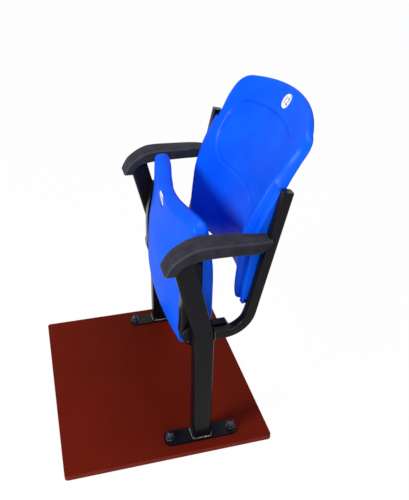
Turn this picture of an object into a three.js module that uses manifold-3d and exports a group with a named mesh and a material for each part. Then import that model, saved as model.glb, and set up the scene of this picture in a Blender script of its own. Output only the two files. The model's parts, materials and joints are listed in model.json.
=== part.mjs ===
import * as THREE from 'three';
import { mergeVertices } from 'three/addons/utils/BufferGeometryUtils.js';
import Module from 'manifold-3d';

// A tip-up stadium seat with armrests, folded, bolted to a deck board.
// Millimetres. The sitter faces -Y, +X is the sitter's left, +Z is up, and the deck's underside is z = 0.

const wasm = await Module();
wasm.setup();

// Deck board
const deck_side_reach = 319;
const deck_front_reach = 374;
const deck_rear_reach = 189;
const deck_thickness = 15;
const deck_corner_radius = 9;

// Side stands: foot plate, leg tube with a knee, J-shaped back tube
const stand_half_width = 285;
const foot_plate_length = 205;
const foot_plate_width = 50;
const foot_plate_thickness = 6;
const foot_plate_corner_radius = 22;
const leg_width = 40;
const leg_depth = 50;
const leg_wall = 2.5;
const leg_corner_radius = 6;
const leg_knee_height = 358;
const leg_bend_radius = 60;
const leg_lean_angle = THREE.MathUtils.degToRad(14);
const back_tube_size = 25;
const back_tube_wall = 2;
const back_tube_corner_radius = 4;
const back_tube_bend_radius = 68;
const back_tube_reach = 105;
const back_tube_lean_angle = THREE.MathUtils.degToRad(12.2);
const back_tube_top_height = 726;
const tube_cap_thickness = 3;
const tube_cap_plug_depth = 14;

// Anchors
const anchor_spacing = 172;
const stud_diameter = 12;
const stud_rise = 30;
const stud_sink = 12;
const nut_across_flats = 18;
const nut_height = 10;
const washer_diameter = 24;
const washer_thickness = 2.5;

// Hinge
const pivot_forward = 15.5;
const pivot_below_knee = 24;
const hinge_plate_thickness = 6;
const hinge_boss_radius = 31;
const hinge_plate_rise = 17;
const hinge_plate_tail = 73;
const hinge_plate_tail_height = 25;
const pin_diameter = 14;
const pin_head_diameter = 22;
const pin_head_thickness = 4;
const bush_wall = 3;
const hub_length = 14;
const bush_collar_diameter = 30;
const bush_collar_thickness = 4;
const stop_pin_diameter = 6;
const stop_pin_radius = 22;
const stop_sleeve_diameter = 10;
const stop_pin_past_wall = 2.5;
const stop_pin_bearing = THREE.MathUtils.degToRad(222);
const spring_wire = 3;
const spring_coil_radius = 12;
const spring_turns = 3;
const spring_pitch = 3.7;
const seat_drop_angle = THREE.MathUtils.degToRad(84);

// Hinge housing on each side of the seat shell
const housing_round_radius = 33;
const housing_width = 33;
const housing_wall = 4;
const housing_height = 242;
const housing_rear_reach = 22;
const housing_edge_radius = 7;
const housing_top_radius = 16;
const housing_screw_diameter = 6;
const housing_screw_bite = 16;

// Seat shell
const seat_half_width = 227;
const seat_length = 360;
const seat_below_pivot = 56;
const seat_rear_reach = 45;
const seat_side_depth = 72;
const seat_middle_depth = 95;
const seat_dish_depth = 50;
const seat_corner_radius = 41;
const seat_foot_corner_radius = 24;
const seat_rim_width = 22;
const seat_edge_radius = 12;
const seat_lip_dip = 16;

// Back shell
const back_bottom_height = 403;
const back_height = 455;
const back_front_reach = 91;
const back_sweep = 165;
const back_half_width = 218;
const back_flank_width = 34;
const back_upper_spread = 12;
const back_thickness = 35;
const back_hollow = 53;
const back_corner_radius = 50;
const back_crown_rise = 9;
const back_crown_fall = 22;
const back_foot_sag = 14;
const back_foot_corner_radius = 30;
const back_shoulder_height = 723;
const back_shoulder_blend = 5;
const panel_bottom_height = 626;
const panel_height = 170;
const panel_half_width = 190;
const panel_corner_radius = 48;
const panel_foot_corner_radius = 84;
const panel_recess = 3;
const bracket_height = 38;
const bracket_thickness = 4;
const bracket_overlap = 38;
const bracket_gap = 4;
const bracket_upper_height = 640;
const bracket_lower_height = 450;
const back_bolt_diameter = 8;
const back_bolt_head_diameter = 16;
const back_bolt_head_height = 5;
const back_bolt_grip = 22;

// Number discs
const disc_diameter = 42;
const disc_thickness = 2.4;
const disc_recess = 3.4;
const back_disc_drop = 22;
const back_disc_tilt = THREE.MathUtils.degToRad(-8);
const seat_disc_drop = 23;
const seat_disc_tilt = THREE.MathUtils.degToRad(-6);

// Armrests
const arm_outer_lap = 18;
const arm_width = 61;
const arm_length = 256;
const arm_nose_reach = 102;
const arm_top_height = 625;
const arm_nose_drop = 68;
const arm_edge_radius = 5;
const arm_core_thickness = 6;
const arm_core_drop = 25;
const leg_top_drop = 45;

// Clearances
const fit_gap = 0.3;
const overrun = 10;

// Facets
const circle_segments = 16;
const corner_segments = 3;
const tube_corner_segments = 2;
const bend_segments = 7;
const spring_segments = 13;
const face_segments = 14;
const rear_segments = 8;
const panel_segments = 12;
const arc_segments = 8;

// Outline shares
// Seat: share of the length from the hinge end, then shares of the side depth, middle depth, dish and
// rear reach.
const seat_row_shares = [
  [0.00, 0.99, 0.92, 0.45, 1.00], [0.07, 0.98, 0.96, 0.60, 1.05], [0.14, 0.97, 0.99, 0.80, 1.10],
  [0.28, 0.93, 1.00, 0.96, 1.15], [0.42, 0.86, 1.00, 1.00, 1.16], [0.49, 0.81, 0.99, 1.00, 1.16],
  [0.56, 0.75, 0.96, 0.97, 1.16], [0.64, 0.68, 0.89, 0.92, 1.14], [0.72, 0.635, 0.82, 0.84, 1.08],
  [0.82, 0.61, 0.78, 0.70, 0.97], [0.91, 0.60, 0.77, 0.58, 0.88], [1.00, 0.60, 0.77, 0.52, 0.82],
];
// Back: share of the height, then of the sweep, the hollow and the thickness.
const back_row_shares = [
  [0.000, 0.070, 1.08, 0.66], [0.035, 0.032, 1.08, 0.84], [0.069, 0.010, 1.07, 0.95],
  [0.109, 0.000, 1.06, 1.05], [0.188, 0.012, 1.04, 1.18], [0.286, 0.038, 1.02, 1.30],
  [0.395, 0.076, 1.01, 1.34], [0.454, 0.124, 1.00, 1.26], [0.513, 0.188, 1.00, 1.12],
  [0.572, 0.264, 1.00, 1.02], [0.641, 0.364, 0.97, 0.92], [0.711, 0.471, 0.93, 0.80],
  [0.786, 0.594, 0.89, 0.66], [0.864, 0.728, 0.83, 0.57], [0.945, 0.888, 0.76, 0.55],
  [1.000, 1.006, 0.73, 0.57], [1.050, 1.108, 0.71, 0.58],
];
// Where up the back its face starts to spread and the arch of its top edge sets in, where both are full,
// and where the arch of its foot has gone.
const back_crown_start_share = 0.72;
const back_crown_full_share = 0.88;
const back_arch_end_share = 0.16;
// Loops up the back shell: share of its height, and how full the section is there.
const back_end_shares = [[0, 0.35], [0.006, 0.72], [0.016, 0.93], [0.032, 1]];
const back_lower_shares = [0.065, 0.1, 0.15, 0.21, 0.28, 0.35, 0.42, 0.48, 0.54, 0.6, 0.66];
const back_upper_shares = [0.77, 0.82, 0.86, 0.9, 0.935];
// The flank of the back shell below and above its shoulder, as shares of flank width and thickness.
const lower_flank_shares = [[0, 0], [0.36, 0.50], [0.56, 0.52], [0.62, 0.27], [1, 0.30], [1, 1]];
const upper_flank_shares = [[0, 0], [0.20, 0.14], [0.38, 0.32], [0.54, 0.52], [0.70, 0.76], [0.78, 1]];
// The armrest's top and bottom lines: shares of its length back from the nose and of its height up from
// the nose, for the top and then the bottom, then shares of its width that the inner and outer sides lose.
const arm_station_shares = [
  [0.000, 0.000, 0.110, 0.000, 0.00, 0.05], [0.035, 0.260, 0.130, 0.130, 0.00, 0.04],
  [0.078, 0.500, 0.157, 0.270, 0.00, 0.03], [0.145, 0.700, 0.200, 0.385, 0.00, 0.02],
  [0.219, 0.860, 0.254, 0.460, 0.00, 0.01], [0.305, 0.970, 0.328, 0.505, 0.00, 0.00],
  [0.422, 1.000, 0.422, 0.530, 0.00, 0.00], [0.566, 0.985, 0.566, 0.530, 0.02, 0.00],
  [0.742, 0.960, 0.742, 0.505, 0.10, 0.00], [0.824, 0.945, 0.824, 0.470, 0.17, 0.01],
  [0.891, 0.930, 0.891, 0.490, 0.19, 0.04], [0.965, 0.900, 0.955, 0.640, 0.22, 0.10],
  [1.000, 0.850, 0.990, 0.740, 0.24, 0.15],
];
// The hinge housing's front line above the pivot: share of its height, share of its front reach.
const housing_front_shares = [
  [0.12, 0.94], [0.42, 0.90], [0.60, 0.80], [0.72, 0.68], [0.86, 0.46], [1, 0.20],
];
// The housing's screws: shares of its height above the pivot and of its round radius behind the pivot.
const housing_screw_shares = [[0.40, -0.12], [0.80, 0.06]];
// The hinge plate's tail: shares of its reach behind the pivot and of its height.
const hinge_tail_shares = [[0.22, 1], [0.88, 1], [1, 0.30], [0.97, 0], [0.42, 0]];
// Loops along the seat shell: share of its length, and how full the section is there.
const seat_loop_shares = [
  [0, 0.40], [0.008, 0.66], [0.022, 0.87], [0.045, 1], [0.1, 1], [0.18, 1], [0.27, 1], [0.37, 1], [0.47, 1],
  [0.57, 1], [0.67, 1], [0.76, 1], [0.84, 1], [0.9, 1], [0.94, 0.97], [0.965, 0.87], [0.983, 0.71],
  [0.995, 0.5], [1, 0.36],
];
// The lower bracket's tail: shares of its reach inward from the tube and of its height above its middle.
const bracket_tail_shares = [
  [1, -0.3], [0.86, -0.6], [0.86, -1.5], [0.76, -2.1], [0.52, -2.2], [0.34, -2], [0.26, -1.4], [0, -0.7],
];
// The most of an armrest's thickness that a round edge takes, the step over which a slope is read, and
// the sharpest mitre of a drawn-in outline.
const arm_edge_limit_share = 0.45;
const slope_step_share = 0.01;
const mitre_limit_share = 0.3;

// Worked-out places
const floor = deck_thickness;
const leg_inner_x = stand_half_width - leg_width;
const leg_middle_x = stand_half_width - leg_width / 2;
const tube_inner_x = stand_half_width - back_tube_size;
const tube_middle_x = stand_half_width - back_tube_size / 2;
const plate_inner_x = leg_inner_x - hinge_plate_thickness;
const pivot_y = -pivot_forward;
const pivot_z = floor + leg_knee_height - pivot_below_knee;
const plate_top_z = floor + foot_plate_thickness;
const housing_outer_x = plate_inner_x - bush_collar_thickness - 2 * fit_gap;
const housing_inner_x = housing_outer_x - housing_width;
const arm_nose_height = arm_top_height - arm_nose_drop;
const arm_core_height = arm_top_height - arm_core_drop;
const leg_top_height = arm_top_height - leg_top_drop;

const group = new THREE.Group();

const materials = {
  deck: { color: 0x661a12, roughness: 0.75, metalness: 0 },
  steel_black: { color: 0x1e1f22, roughness: 0.45, metalness: 0.1 },
  zinc: { color: 0x8d8a92, roughness: 0.35, metalness: 0.9 },
  plastic_black: { color: 0x17181a, roughness: 0.4, metalness: 0 },
  arm: { color: 0x3a3940, roughness: 0.7, metalness: 0 },
  blue: { color: 0x1f5cf5, roughness: 0.4, metalness: 0 },
  white: { color: 0xeeeef6, roughness: 0.4, metalness: 0 },
  rubber: { color: 0x141414, roughness: 0.9, metalness: 0 },
  bush: { color: 0xb8b8b4, roughness: 0.5, metalness: 0 },
};

// Adds a finished geometry to the seat under its piece's name.
function add(name, geometry, material) {
  const mesh = new THREE.Mesh(geometry, new THREE.MeshStandardMaterial(materials[material]));
  mesh.name = name;
  group.add(mesh);
  return mesh;
}

// Turns a closed geometry into a solid that can be joined and cut.
function solid(geometry) {
  const bare = geometry.clone();
  bare.deleteAttribute('normal');
  bare.deleteAttribute('uv');
  const merged = mergeVertices(bare, 1e-4);
  const mesh = new wasm.Mesh({
    numProp: 3,
    vertProperties: new Float32Array(merged.attributes.position.array),
    triVerts: new Uint32Array(merged.index.array),
  });
  return new wasm.Manifold(mesh);
}

// Turns a solid back into a geometry.
function shape_of(body) {
  const mesh = body.getMesh();
  const geometry = new THREE.BufferGeometry();
  geometry.setAttribute('position', new THREE.BufferAttribute(new Float32Array(mesh.vertProperties), 3));
  geometry.setIndex(new THREE.BufferAttribute(new Uint32Array(mesh.triVerts), 1));
  return geometry;
}

// Cuts a list of geometries out of a geometry.
function cut(geometry, tools) {
  let body = solid(geometry);
  for (const tool of tools) {
    body = body.subtract(solid(tool));
  }
  return shape_of(body);
}

// Joins overlapping geometries into one.
function join(geometries) {
  let body = solid(geometries[0]);
  for (const piece of geometries.slice(1)) {
    body = body.add(solid(piece));
  }
  return shape_of(body);
}

// A rectangle with round corners, centred on the origin.
function round_rectangle(width, height, radius) {
  const shape = new THREE.Shape();
  const x = width / 2;
  const y = height / 2;
  shape.moveTo(x - radius, -y);
  shape.absarc(x - radius, -y + radius, radius, -Math.PI / 2, 0, false);
  shape.absarc(x - radius, y - radius, radius, 0, Math.PI / 2, false);
  shape.absarc(-x + radius, y - radius, radius, Math.PI / 2, Math.PI, false);
  shape.absarc(-x + radius, -y + radius, radius, Math.PI, 1.5 * Math.PI, false);
  return shape;
}

// A flat slab on z = 0 from a shape.
function slab(shape, thickness, segments = corner_segments) {
  return new THREE.ExtrudeGeometry(shape, {
    depth: thickness, bevelEnabled: false, curveSegments: segments,
  });
}

// A slab whose shape is drawn in the YZ plane and which runs along X from one place to another.
function side_slab(shape, from_x, to_x, segments = corner_segments) {
  const geometry = slab(shape, to_x - from_x, segments);
  geometry.rotateY(Math.PI / 2);
  geometry.rotateX(Math.PI / 2);
  geometry.translate(from_x, 0, 0);
  return geometry;
}

// A round bar along X.
function bar_x(radius, from_x, to_x, y, z, segments = circle_segments) {
  const geometry = new THREE.CylinderGeometry(radius, radius, to_x - from_x, segments);
  geometry.rotateZ(-Math.PI / 2);
  geometry.translate((from_x + to_x) / 2, y, z);
  return geometry;
}

// A round bar along Z, standing on a height.
function bar_z(radius, from_z, to_z, x, y, segments = circle_segments) {
  const geometry = new THREE.CylinderGeometry(radius, radius, to_z - from_z, segments);
  geometry.rotateX(Math.PI / 2);
  geometry.translate(x, y, (from_z + to_z) / 2);
  return geometry;
}

// A polyline in the YZ plane as a shape.
function outline(points) {
  return new THREE.Shape(points.map(([y, z]) => new THREE.Vector2(y, z)));
}

// The copy of a geometry on the other side of the middle plane.
function mirrored(geometry) {
  const copy = geometry.clone();
  copy.deleteAttribute('normal');
  copy.deleteAttribute('uv');
  copy.scale(-1, 1, 1);
  const flat = copy.index ? copy.toNonIndexed() : copy;
  const position = flat.attributes.position;
  const corner = new THREE.Vector3();
  const other = new THREE.Vector3();
  for (let i = 0; i < position.count; i += 3) {
    corner.fromBufferAttribute(position, i);
    other.fromBufferAttribute(position, i + 2);
    position.setXYZ(i, other.x, other.y, other.z);
    position.setXYZ(i + 2, corner.x, corner.y, corner.z);
  }
  return mergeVertices(flat, 1e-4);
}

// Adds a left piece and its mirror copy on the right.
function add_pair(name, geometry, material) {
  add(`${name}_left`, geometry, material);
  add(`${name}_right`, mirrored(geometry), material);
}

// A path in the YZ plane: straight, then an arc, then straight, with a few stations in the arc.
class BentPath extends THREE.Curve {
  constructor(start, corner, end, bend_radius, arc_steps) {
    super();
    const into = corner.clone().sub(start).normalize();
    const out = end.clone().sub(corner).normalize();
    const turn = into.angleTo(out);
    const tangent_length = bend_radius * Math.tan(turn / 2);
    const side = out.clone().sub(into.clone().multiplyScalar(into.dot(out))).normalize();
    const arc_start = corner.clone().sub(into.clone().multiplyScalar(tangent_length));
    const centre = arc_start.clone().add(side.clone().multiplyScalar(bend_radius));
    this.stations = [[start.clone(), into.clone()]];
    for (let i = 0; i <= arc_steps; i += 1) {
      const angle = turn * i / arc_steps;
      const place = centre.clone()
        .add(into.clone().multiplyScalar(bend_radius * Math.sin(angle)))
        .sub(side.clone().multiplyScalar(bend_radius * Math.cos(angle)));
      const heading = into.clone().multiplyScalar(Math.cos(angle))
        .add(side.clone().multiplyScalar(Math.sin(angle)));
      this.stations.push([place, heading]);
    }
    this.stations.push([end.clone(), out.clone()]);
    this.steps = this.stations.length - 1;
  }

  getPoint(t) {
    return this.stations[Math.round(t * this.steps)][0].clone();
  }

  getPointAt(u) {
    return this.getPoint(u);
  }

  getTangent(t) {
    return this.stations[Math.round(t * this.steps)][1].clone();
  }

  getTangentAt(u) {
    return this.getTangent(u);
  }
}

// A square tube, hollow or filled, swept along a bent path. Its width is along X.
function bent_tube(path, width, depth, radius, wall) {
  const upright_start = Math.abs(path.getTangent(0).y) < 1e-9;
  const across = upright_start ? [depth, width] : [width, depth];
  const shape = round_rectangle(across[0], across[1], radius);
  if (wall > 0) {
    const bore = round_rectangle(across[0] - 2 * wall, across[1] - 2 * wall, radius - wall);
    shape.holes.push(new THREE.Path(bore.getPoints(tube_corner_segments).slice(0, -1).reverse()));
  }
  return new THREE.ExtrudeGeometry(shape, {
    steps: path.steps, extrudePath: path, curveSegments: tube_corner_segments,
  });
}

// Skins a stack of closed loops with the same number of points, and closes both ends.
function loft(loops) {
  const count = loops[0].length;
  const positions = [];
  const indices = [];
  for (const loop of loops) {
    for (const point of loop) {
      positions.push(point.x, point.y, point.z);
    }
  }
  for (let row = 0; row + 1 < loops.length; row += 1) {
    for (let i = 0; i < count; i += 1) {
      const a = row * count + i;
      const b = row * count + (i + 1) % count;
      indices.push(a, b, b + count, a, b + count, a + count);
    }
  }
  for (const [row, flip] of [[0, true], [loops.length - 1, false]]) {
    const flat = loops[row].map((point) => point.flat);
    const facets = THREE.ShapeUtils.triangulateShape(flat, []);
    const areas = facets.map((facet) => THREE.ShapeUtils.area(facet.map((corner) => flat[corner])));
    const up = areas.reduce((sum, area) => sum + area, 0) * THREE.ShapeUtils.area(flat) > 0;
    for (const facet of facets) {
      const corners = facet.map((corner) => row * count + corner);
      indices.push(...(up === flip ? corners.reverse() : corners));
    }
  }
  const geometry = new THREE.BufferGeometry();
  geometry.setAttribute('position', new THREE.BufferAttribute(new Float32Array(positions), 3));
  geometry.setIndex(indices);
  return outward(geometry);
}

// Turns a closed geometry's faces outward where they all face in.
function outward(geometry) {
  const position = geometry.attributes.position;
  const index = geometry.index;
  const a = new THREE.Vector3();
  const b = new THREE.Vector3();
  const c = new THREE.Vector3();
  let volume = 0;
  for (let i = 0; i < index.count; i += 3) {
    a.fromBufferAttribute(position, index.getX(i));
    b.fromBufferAttribute(position, index.getX(i + 1));
    c.fromBufferAttribute(position, index.getX(i + 2));
    volume += a.dot(b.cross(c));
  }
  if (volume < 0) {
    for (let i = 0; i < index.count; i += 3) {
      const first = index.getX(i);
      index.setX(i, index.getX(i + 2));
      index.setX(i + 2, first);
    }
  }
  return geometry;
}

// A point of a loft's loop, with its flat place in the section.
function loop_point(x, y, z, flat_x, flat_y) {
  const point = new THREE.Vector3(x, y, z);
  point.flat = new THREE.Vector2(flat_x, flat_y);
  return point;
}

// Smooth values between the rows of a table whose first column rises.
function table_curve(table) {
  return (share) => {
    let row = 0;
    while (row < table.length - 2 && share > table[row + 1][0]) {
      row += 1;
    }
    const before = table[Math.max(row - 1, 0)];
    const from = table[row];
    const to = table[row + 1];
    const after = table[Math.min(row + 2, table.length - 1)];
    const span = to[0] - from[0];
    const t = (share - from[0]) / span;
    return from.map((value, column) => {
      const slope_from = (to[column] - before[column]) / (to[0] - before[0]) * span;
      const slope_to = (after[column] - from[column]) / (after[0] - from[0]) * span;
      const h = t * t * (3 - 2 * t);
      return value + (to[column] - value) * h
        + slope_from * t * (1 - t) * (1 - t) - slope_to * t * t * (1 - t);
    });
  };
}

// How far an outline with round corners draws in at a distance from its end.
function corner_inset(distance, radius) {
  if (distance >= radius) {
    return 0;
  }
  return radius - Math.sqrt(radius * radius - (radius - distance) * (radius - distance));
}

// Deck board, with blind holes for the four studs.
const deck_length = deck_front_reach + deck_rear_reach;
const deck_shape = round_rectangle(2 * deck_side_reach, deck_length, deck_corner_radius);
const deck = slab(deck_shape, deck_thickness);
deck.translate(0, (deck_rear_reach - deck_front_reach) / 2, 0);
const stud_holes = [];
for (const side of [-1, 1]) {
  for (const end of [-1, 1]) {
    const hole = bar_z(stud_diameter / 2 + fit_gap, floor - stud_sink - fit_gap, floor + overrun,
      side * leg_middle_x, end * anchor_spacing / 2);
    stud_holes.push(hole);
  }
}
add('deck_board', cut(deck, stud_holes), 'deck');

// Foot plates, studs, washers and nuts.
const foot_plate = slab(round_rectangle(foot_plate_width, foot_plate_length, foot_plate_corner_radius),
  foot_plate_thickness, arc_segments);
foot_plate.translate(leg_middle_x, 0, floor);
const plate_holes = [-1, 1].map((end) => bar_z(stud_diameter / 2 + 2 * fit_gap, floor - overrun,
  plate_top_z + overrun, leg_middle_x, end * anchor_spacing / 2));
add_pair('foot_plate', cut(foot_plate, plate_holes), 'steel_black');

const nut_shape = new THREE.Shape();
for (let i = 0; i < 6; i += 1) {
  const angle = Math.PI / 3 * i;
  const reach = nut_across_flats / 2 / Math.cos(Math.PI / 6);
  nut_shape[i === 0 ? 'moveTo' : 'lineTo'](reach * Math.cos(angle), reach * Math.sin(angle));
}
const nut_bore = new THREE.Path();
nut_bore.absarc(0, 0, stud_diameter / 2 + fit_gap, 0, 2 * Math.PI, true);
nut_shape.holes.push(nut_bore);
const washer_shape = new THREE.Shape();
washer_shape.absarc(0, 0, washer_diameter / 2, 0, 2 * Math.PI, false);
washer_shape.holes.push(nut_bore);
for (const [end_name, end] of [['front', -1], ['rear', 1]]) {
  const y = end * anchor_spacing / 2;
  add_pair(`anchor_stud_${end_name}`, bar_z(stud_diameter / 2, floor - stud_sink, floor + stud_rise,
    leg_middle_x, y), 'zinc');
  const washer = slab(washer_shape, washer_thickness, arc_segments);
  washer.translate(leg_middle_x, y, plate_top_z);
  add_pair(`anchor_washer_${end_name}`, washer, 'zinc');
  const nut = slab(nut_shape, nut_height, arc_segments);
  nut.translate(leg_middle_x, y, plate_top_z + washer_thickness);
  add_pair(`anchor_nut_${end_name}`, nut, 'zinc');
}

// Leg tube: upright to the knee, then leaning forward into the armrest.
const leg_rise = leg_top_height - leg_knee_height;
const leg_foot = new THREE.Vector3(leg_middle_x, 0, plate_top_z);
const leg_knee = new THREE.Vector3(leg_middle_x, 0, floor + leg_knee_height);
const leg_top_y = -leg_rise * Math.tan(leg_lean_angle);
const leg_top_z = floor + leg_top_height;
const leg_top = new THREE.Vector3(leg_middle_x, leg_top_y, leg_top_z);
const leg_path = new BentPath(leg_foot, leg_knee, leg_top, leg_bend_radius, corner_segments);
add_pair('leg_tube', bent_tube(leg_path, leg_width, leg_depth, leg_corner_radius, leg_wall), 'steel_black');

// A geometry drawn about the origin, leaned about X and put at a place.
function leaned(geometry, angle, place) {
  const copy = geometry.clone();
  copy.rotateX(angle);
  copy.translate(place.x, place.y, place.z);
  return copy;
}

// Armrest: a lofted bar that hooks down over the leg's top and laps the back tube.
const arm_outer_x = stand_half_width + arm_outer_lap;
const arm_height = arm_top_height - arm_nose_height;
const arm_loops = arm_station_shares.map(([top_y, top_z, low_y, low_z, inner, outer]) => {
  const top = [top_y * arm_length - arm_nose_reach, top_z * arm_height + arm_nose_height + floor];
  const low = [low_y * arm_length - arm_nose_reach, low_z * arm_height + arm_nose_height + floor];
  const thickness = Math.hypot(top[0] - low[0], top[1] - low[1]);
  const width = arm_width * (1 - inner - outer);
  const middle_x = arm_outer_x - arm_width * outer - width / 2;
  const radius = Math.min(arm_edge_radius, thickness * arm_edge_limit_share);
  const section = round_rectangle(width, thickness, radius).getPoints(corner_segments).slice(0, -1);
  return section.map((point) => {
    const share = point.y / thickness + 0.5;
    const y = low[0] + (top[0] - low[0]) * share;
    const z = low[1] + (top[1] - low[1]) * share;
    return loop_point(middle_x + point.x, y, z, point.x, point.y);
  });
});
const leg_envelope = bent_tube(new BentPath(leg_foot, leg_knee,
  leg_top.clone().add(leg_top.clone().sub(leg_knee).normalize().multiplyScalar(2 * fit_gap)),
  leg_bend_radius, corner_segments), leg_width + 2 * fit_gap, leg_depth + 2 * fit_gap, leg_corner_radius, 0);

// Back tube: from the leg's knee back, round a bend and up, leaning back.
const tube_rise = back_tube_top_height - leg_knee_height;
const tube_start = new THREE.Vector3(tube_middle_x, leg_depth / 2, floor + leg_knee_height);
const tube_corner = new THREE.Vector3(tube_middle_x, back_tube_reach, floor + leg_knee_height);
const tube_top = new THREE.Vector3(tube_middle_x,
  back_tube_reach + tube_rise * Math.tan(back_tube_lean_angle), floor + back_tube_top_height);
const tube_path = new BentPath(tube_start, tube_corner, tube_top, back_tube_bend_radius, bend_segments);

add_pair('back_tube', bent_tube(tube_path, back_tube_size, back_tube_size, back_tube_corner_radius,
  back_tube_wall), 'steel_black');

// The place on the back tube's middle line at a height above the deck.
function tube_place(height) {
  return new THREE.Vector3(tube_middle_x,
    back_tube_reach + (height - leg_knee_height) * Math.tan(back_tube_lean_angle), floor + height);
}

const tube_lean = -back_tube_lean_angle;

// Back shell, described by its edge line in the YZ plane.
const back_table = table_curve(back_row_shares);
function back_row(height_share) {
  const [, sweep, hollow, thick] = back_table(height_share);
  const ahead = back_table(height_share + slope_step_share);
  const behind = back_table(height_share - slope_step_share);
  const rise = (ahead[0] - behind[0]) * back_height;
  const run = (ahead[1] - behind[1]) * back_sweep;
  return {
    y: back_front_reach + sweep * back_sweep,
    z: floor + back_bottom_height + height_share * back_height,
    lean: Math.atan2(run, rise),
    hollow: hollow * back_hollow,
    thickness: thick * back_thickness,
  };
}

// A point of the back shell: across X, a level set-back, and a depth square to the edge line.
function back_point(row, x, depth, set_back = 0) {
  const y = row.y + set_back + depth * Math.cos(row.lean);
  return loop_point(x, y, row.z - depth * Math.sin(row.lean), x, set_back + depth);
}

// The depth of the front face below the edge line at a place across the back.
function back_dip(row, x) {
  const share = Math.min(Math.abs(x) / back_half_width, 1);
  return row.hollow * (1 - share * share);
}

// The height share of a place across one of the back's loops: arched up at the top edge, down at the foot.
function arched_share(height_share, x) {
  const across = Math.min((x / back_half_width) * (x / back_half_width), 1);
  const top = THREE.MathUtils.smoothstep(height_share, back_crown_start_share, back_crown_full_share);
  const foot = 1 - THREE.MathUtils.smoothstep(height_share, 0, back_arch_end_share);
  const crown = back_crown_rise - back_crown_fall * across;
  const sag = back_foot_sag * (1 - across);
  return height_share + (top * crown - foot * sag) / back_height;
}

// One loop of the back shell: front, flank, rear, flank.
function back_loop(height_share, squeeze) {
  const row = back_row(height_share);
  const height = height_share * back_height;
  const to_top = (1 - height_share) * back_height / Math.cos(row.lean);
  const inset = Math.max(corner_inset(to_top, back_corner_radius),
    corner_inset(height, back_foot_corner_radius));
  const spread = back_upper_spread
    * THREE.MathUtils.smoothstep(height_share, back_crown_start_share, back_crown_full_share);
  const half = back_half_width + spread - inset;
  const shoulder = THREE.MathUtils.clamp(
    (height + back_bottom_height - back_shoulder_height) / back_shoulder_blend, 0, 1);
  const place = (x, deep) => {
    const here = back_row(arched_share(height_share, x));
    const depth = here.thickness * (0.5 + (deep - 0.5) * squeeze);
    return back_point(here, x, depth, back_dip(here, x));
  };
  const flank = lower_flank_shares.map(([across, deep], i) => [
    half + (back_flank_width - spread) * (across + (upper_flank_shares[i][0] - across) * shoulder),
    deep + (upper_flank_shares[i][1] - deep) * shoulder,
  ]);
  const loop = [];
  for (let i = 0; i <= face_segments; i += 1) {
    loop.push(place(half * (2 * i / face_segments - 1), 0));
  }
  for (const [x, deep] of flank.slice(1)) {
    loop.push(place(x, deep));
  }
  for (let i = 0; i <= rear_segments; i += 1) {
    loop.push(place(half * (1 - 2 * i / rear_segments), 1));
  }
  for (const [x, deep] of flank.slice(1).reverse()) {
    loop.push(place(-x, deep));
  }
  return loop;
}

// Loops from the foot to the top, drawn together at both ends for a round edge.
const back_loops = [];
for (const [share, squeeze] of back_end_shares) {
  back_loops.push(back_loop(share, squeeze));
}
const shoulder_share = (back_shoulder_height - back_bottom_height) / back_height;
const shoulder_end_share = shoulder_share + back_shoulder_blend / back_height;
for (const share of back_lower_shares) {
  back_loops.push(back_loop(share, 1));
}
back_loops.push(back_loop(shoulder_share, 1));
back_loops.push(back_loop(shoulder_end_share, 1));
for (const share of back_upper_shares) {
  back_loops.push(back_loop(share, 1));
}
for (const [share, squeeze] of back_end_shares.slice().reverse()) {
  back_loops.push(back_loop(1 - share, squeeze));
}

// The recessed panel in the back's front face, as a thin tool that follows the face.
function panel_point(share, x, depth) {
  const row = back_row(arched_share(share, x));
  return back_point(row, x, depth, back_dip(row, x));
}
const panel_loops = [];
for (let i = 0; i <= panel_segments; i += 1) {
  const along = panel_height * (0.5 - 0.5 * Math.cos(Math.PI * i / panel_segments));
  const share = (panel_bottom_height - back_bottom_height + along) / back_height;
  const inset = Math.max(corner_inset(along, panel_foot_corner_radius),
    corner_inset(panel_height - along, panel_corner_radius));
  const half = panel_half_width - inset;
  const loop = [];
  for (let j = 0; j <= face_segments; j += 1) {
    const x = half * (2 * j / face_segments - 1);
    loop.push(panel_point(share, x, -overrun));
  }
  for (let j = face_segments; j >= 0; j -= 1) {
    const x = half * (2 * j / face_segments - 1);
    loop.push(panel_point(share, x, panel_recess));
  }
  panel_loops.push(loop);
}

// A round disc set into the back's front face, tilted forward a little from the face.
const back_disc_row = back_row(1 - back_disc_drop / back_height);
function on_back(geometry, row) {
  return leaned(geometry, -row.lean - back_disc_tilt, back_point(row, 0, 0, back_dip(row, 0)));
}
const pocket_radius = disc_diameter / 2 + 2 * fit_gap;
const disc_pocket = new THREE.CylinderGeometry(pocket_radius, pocket_radius, disc_recess + overrun,
  2 * circle_segments);
disc_pocket.translate(0, (disc_recess - overrun) / 2, 0);
const disc = new THREE.CylinderGeometry(disc_diameter / 2, disc_diameter / 2, disc_thickness,
  2 * circle_segments);
disc.translate(0, disc_recess - fit_gap - disc_thickness / 2, 0);

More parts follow.
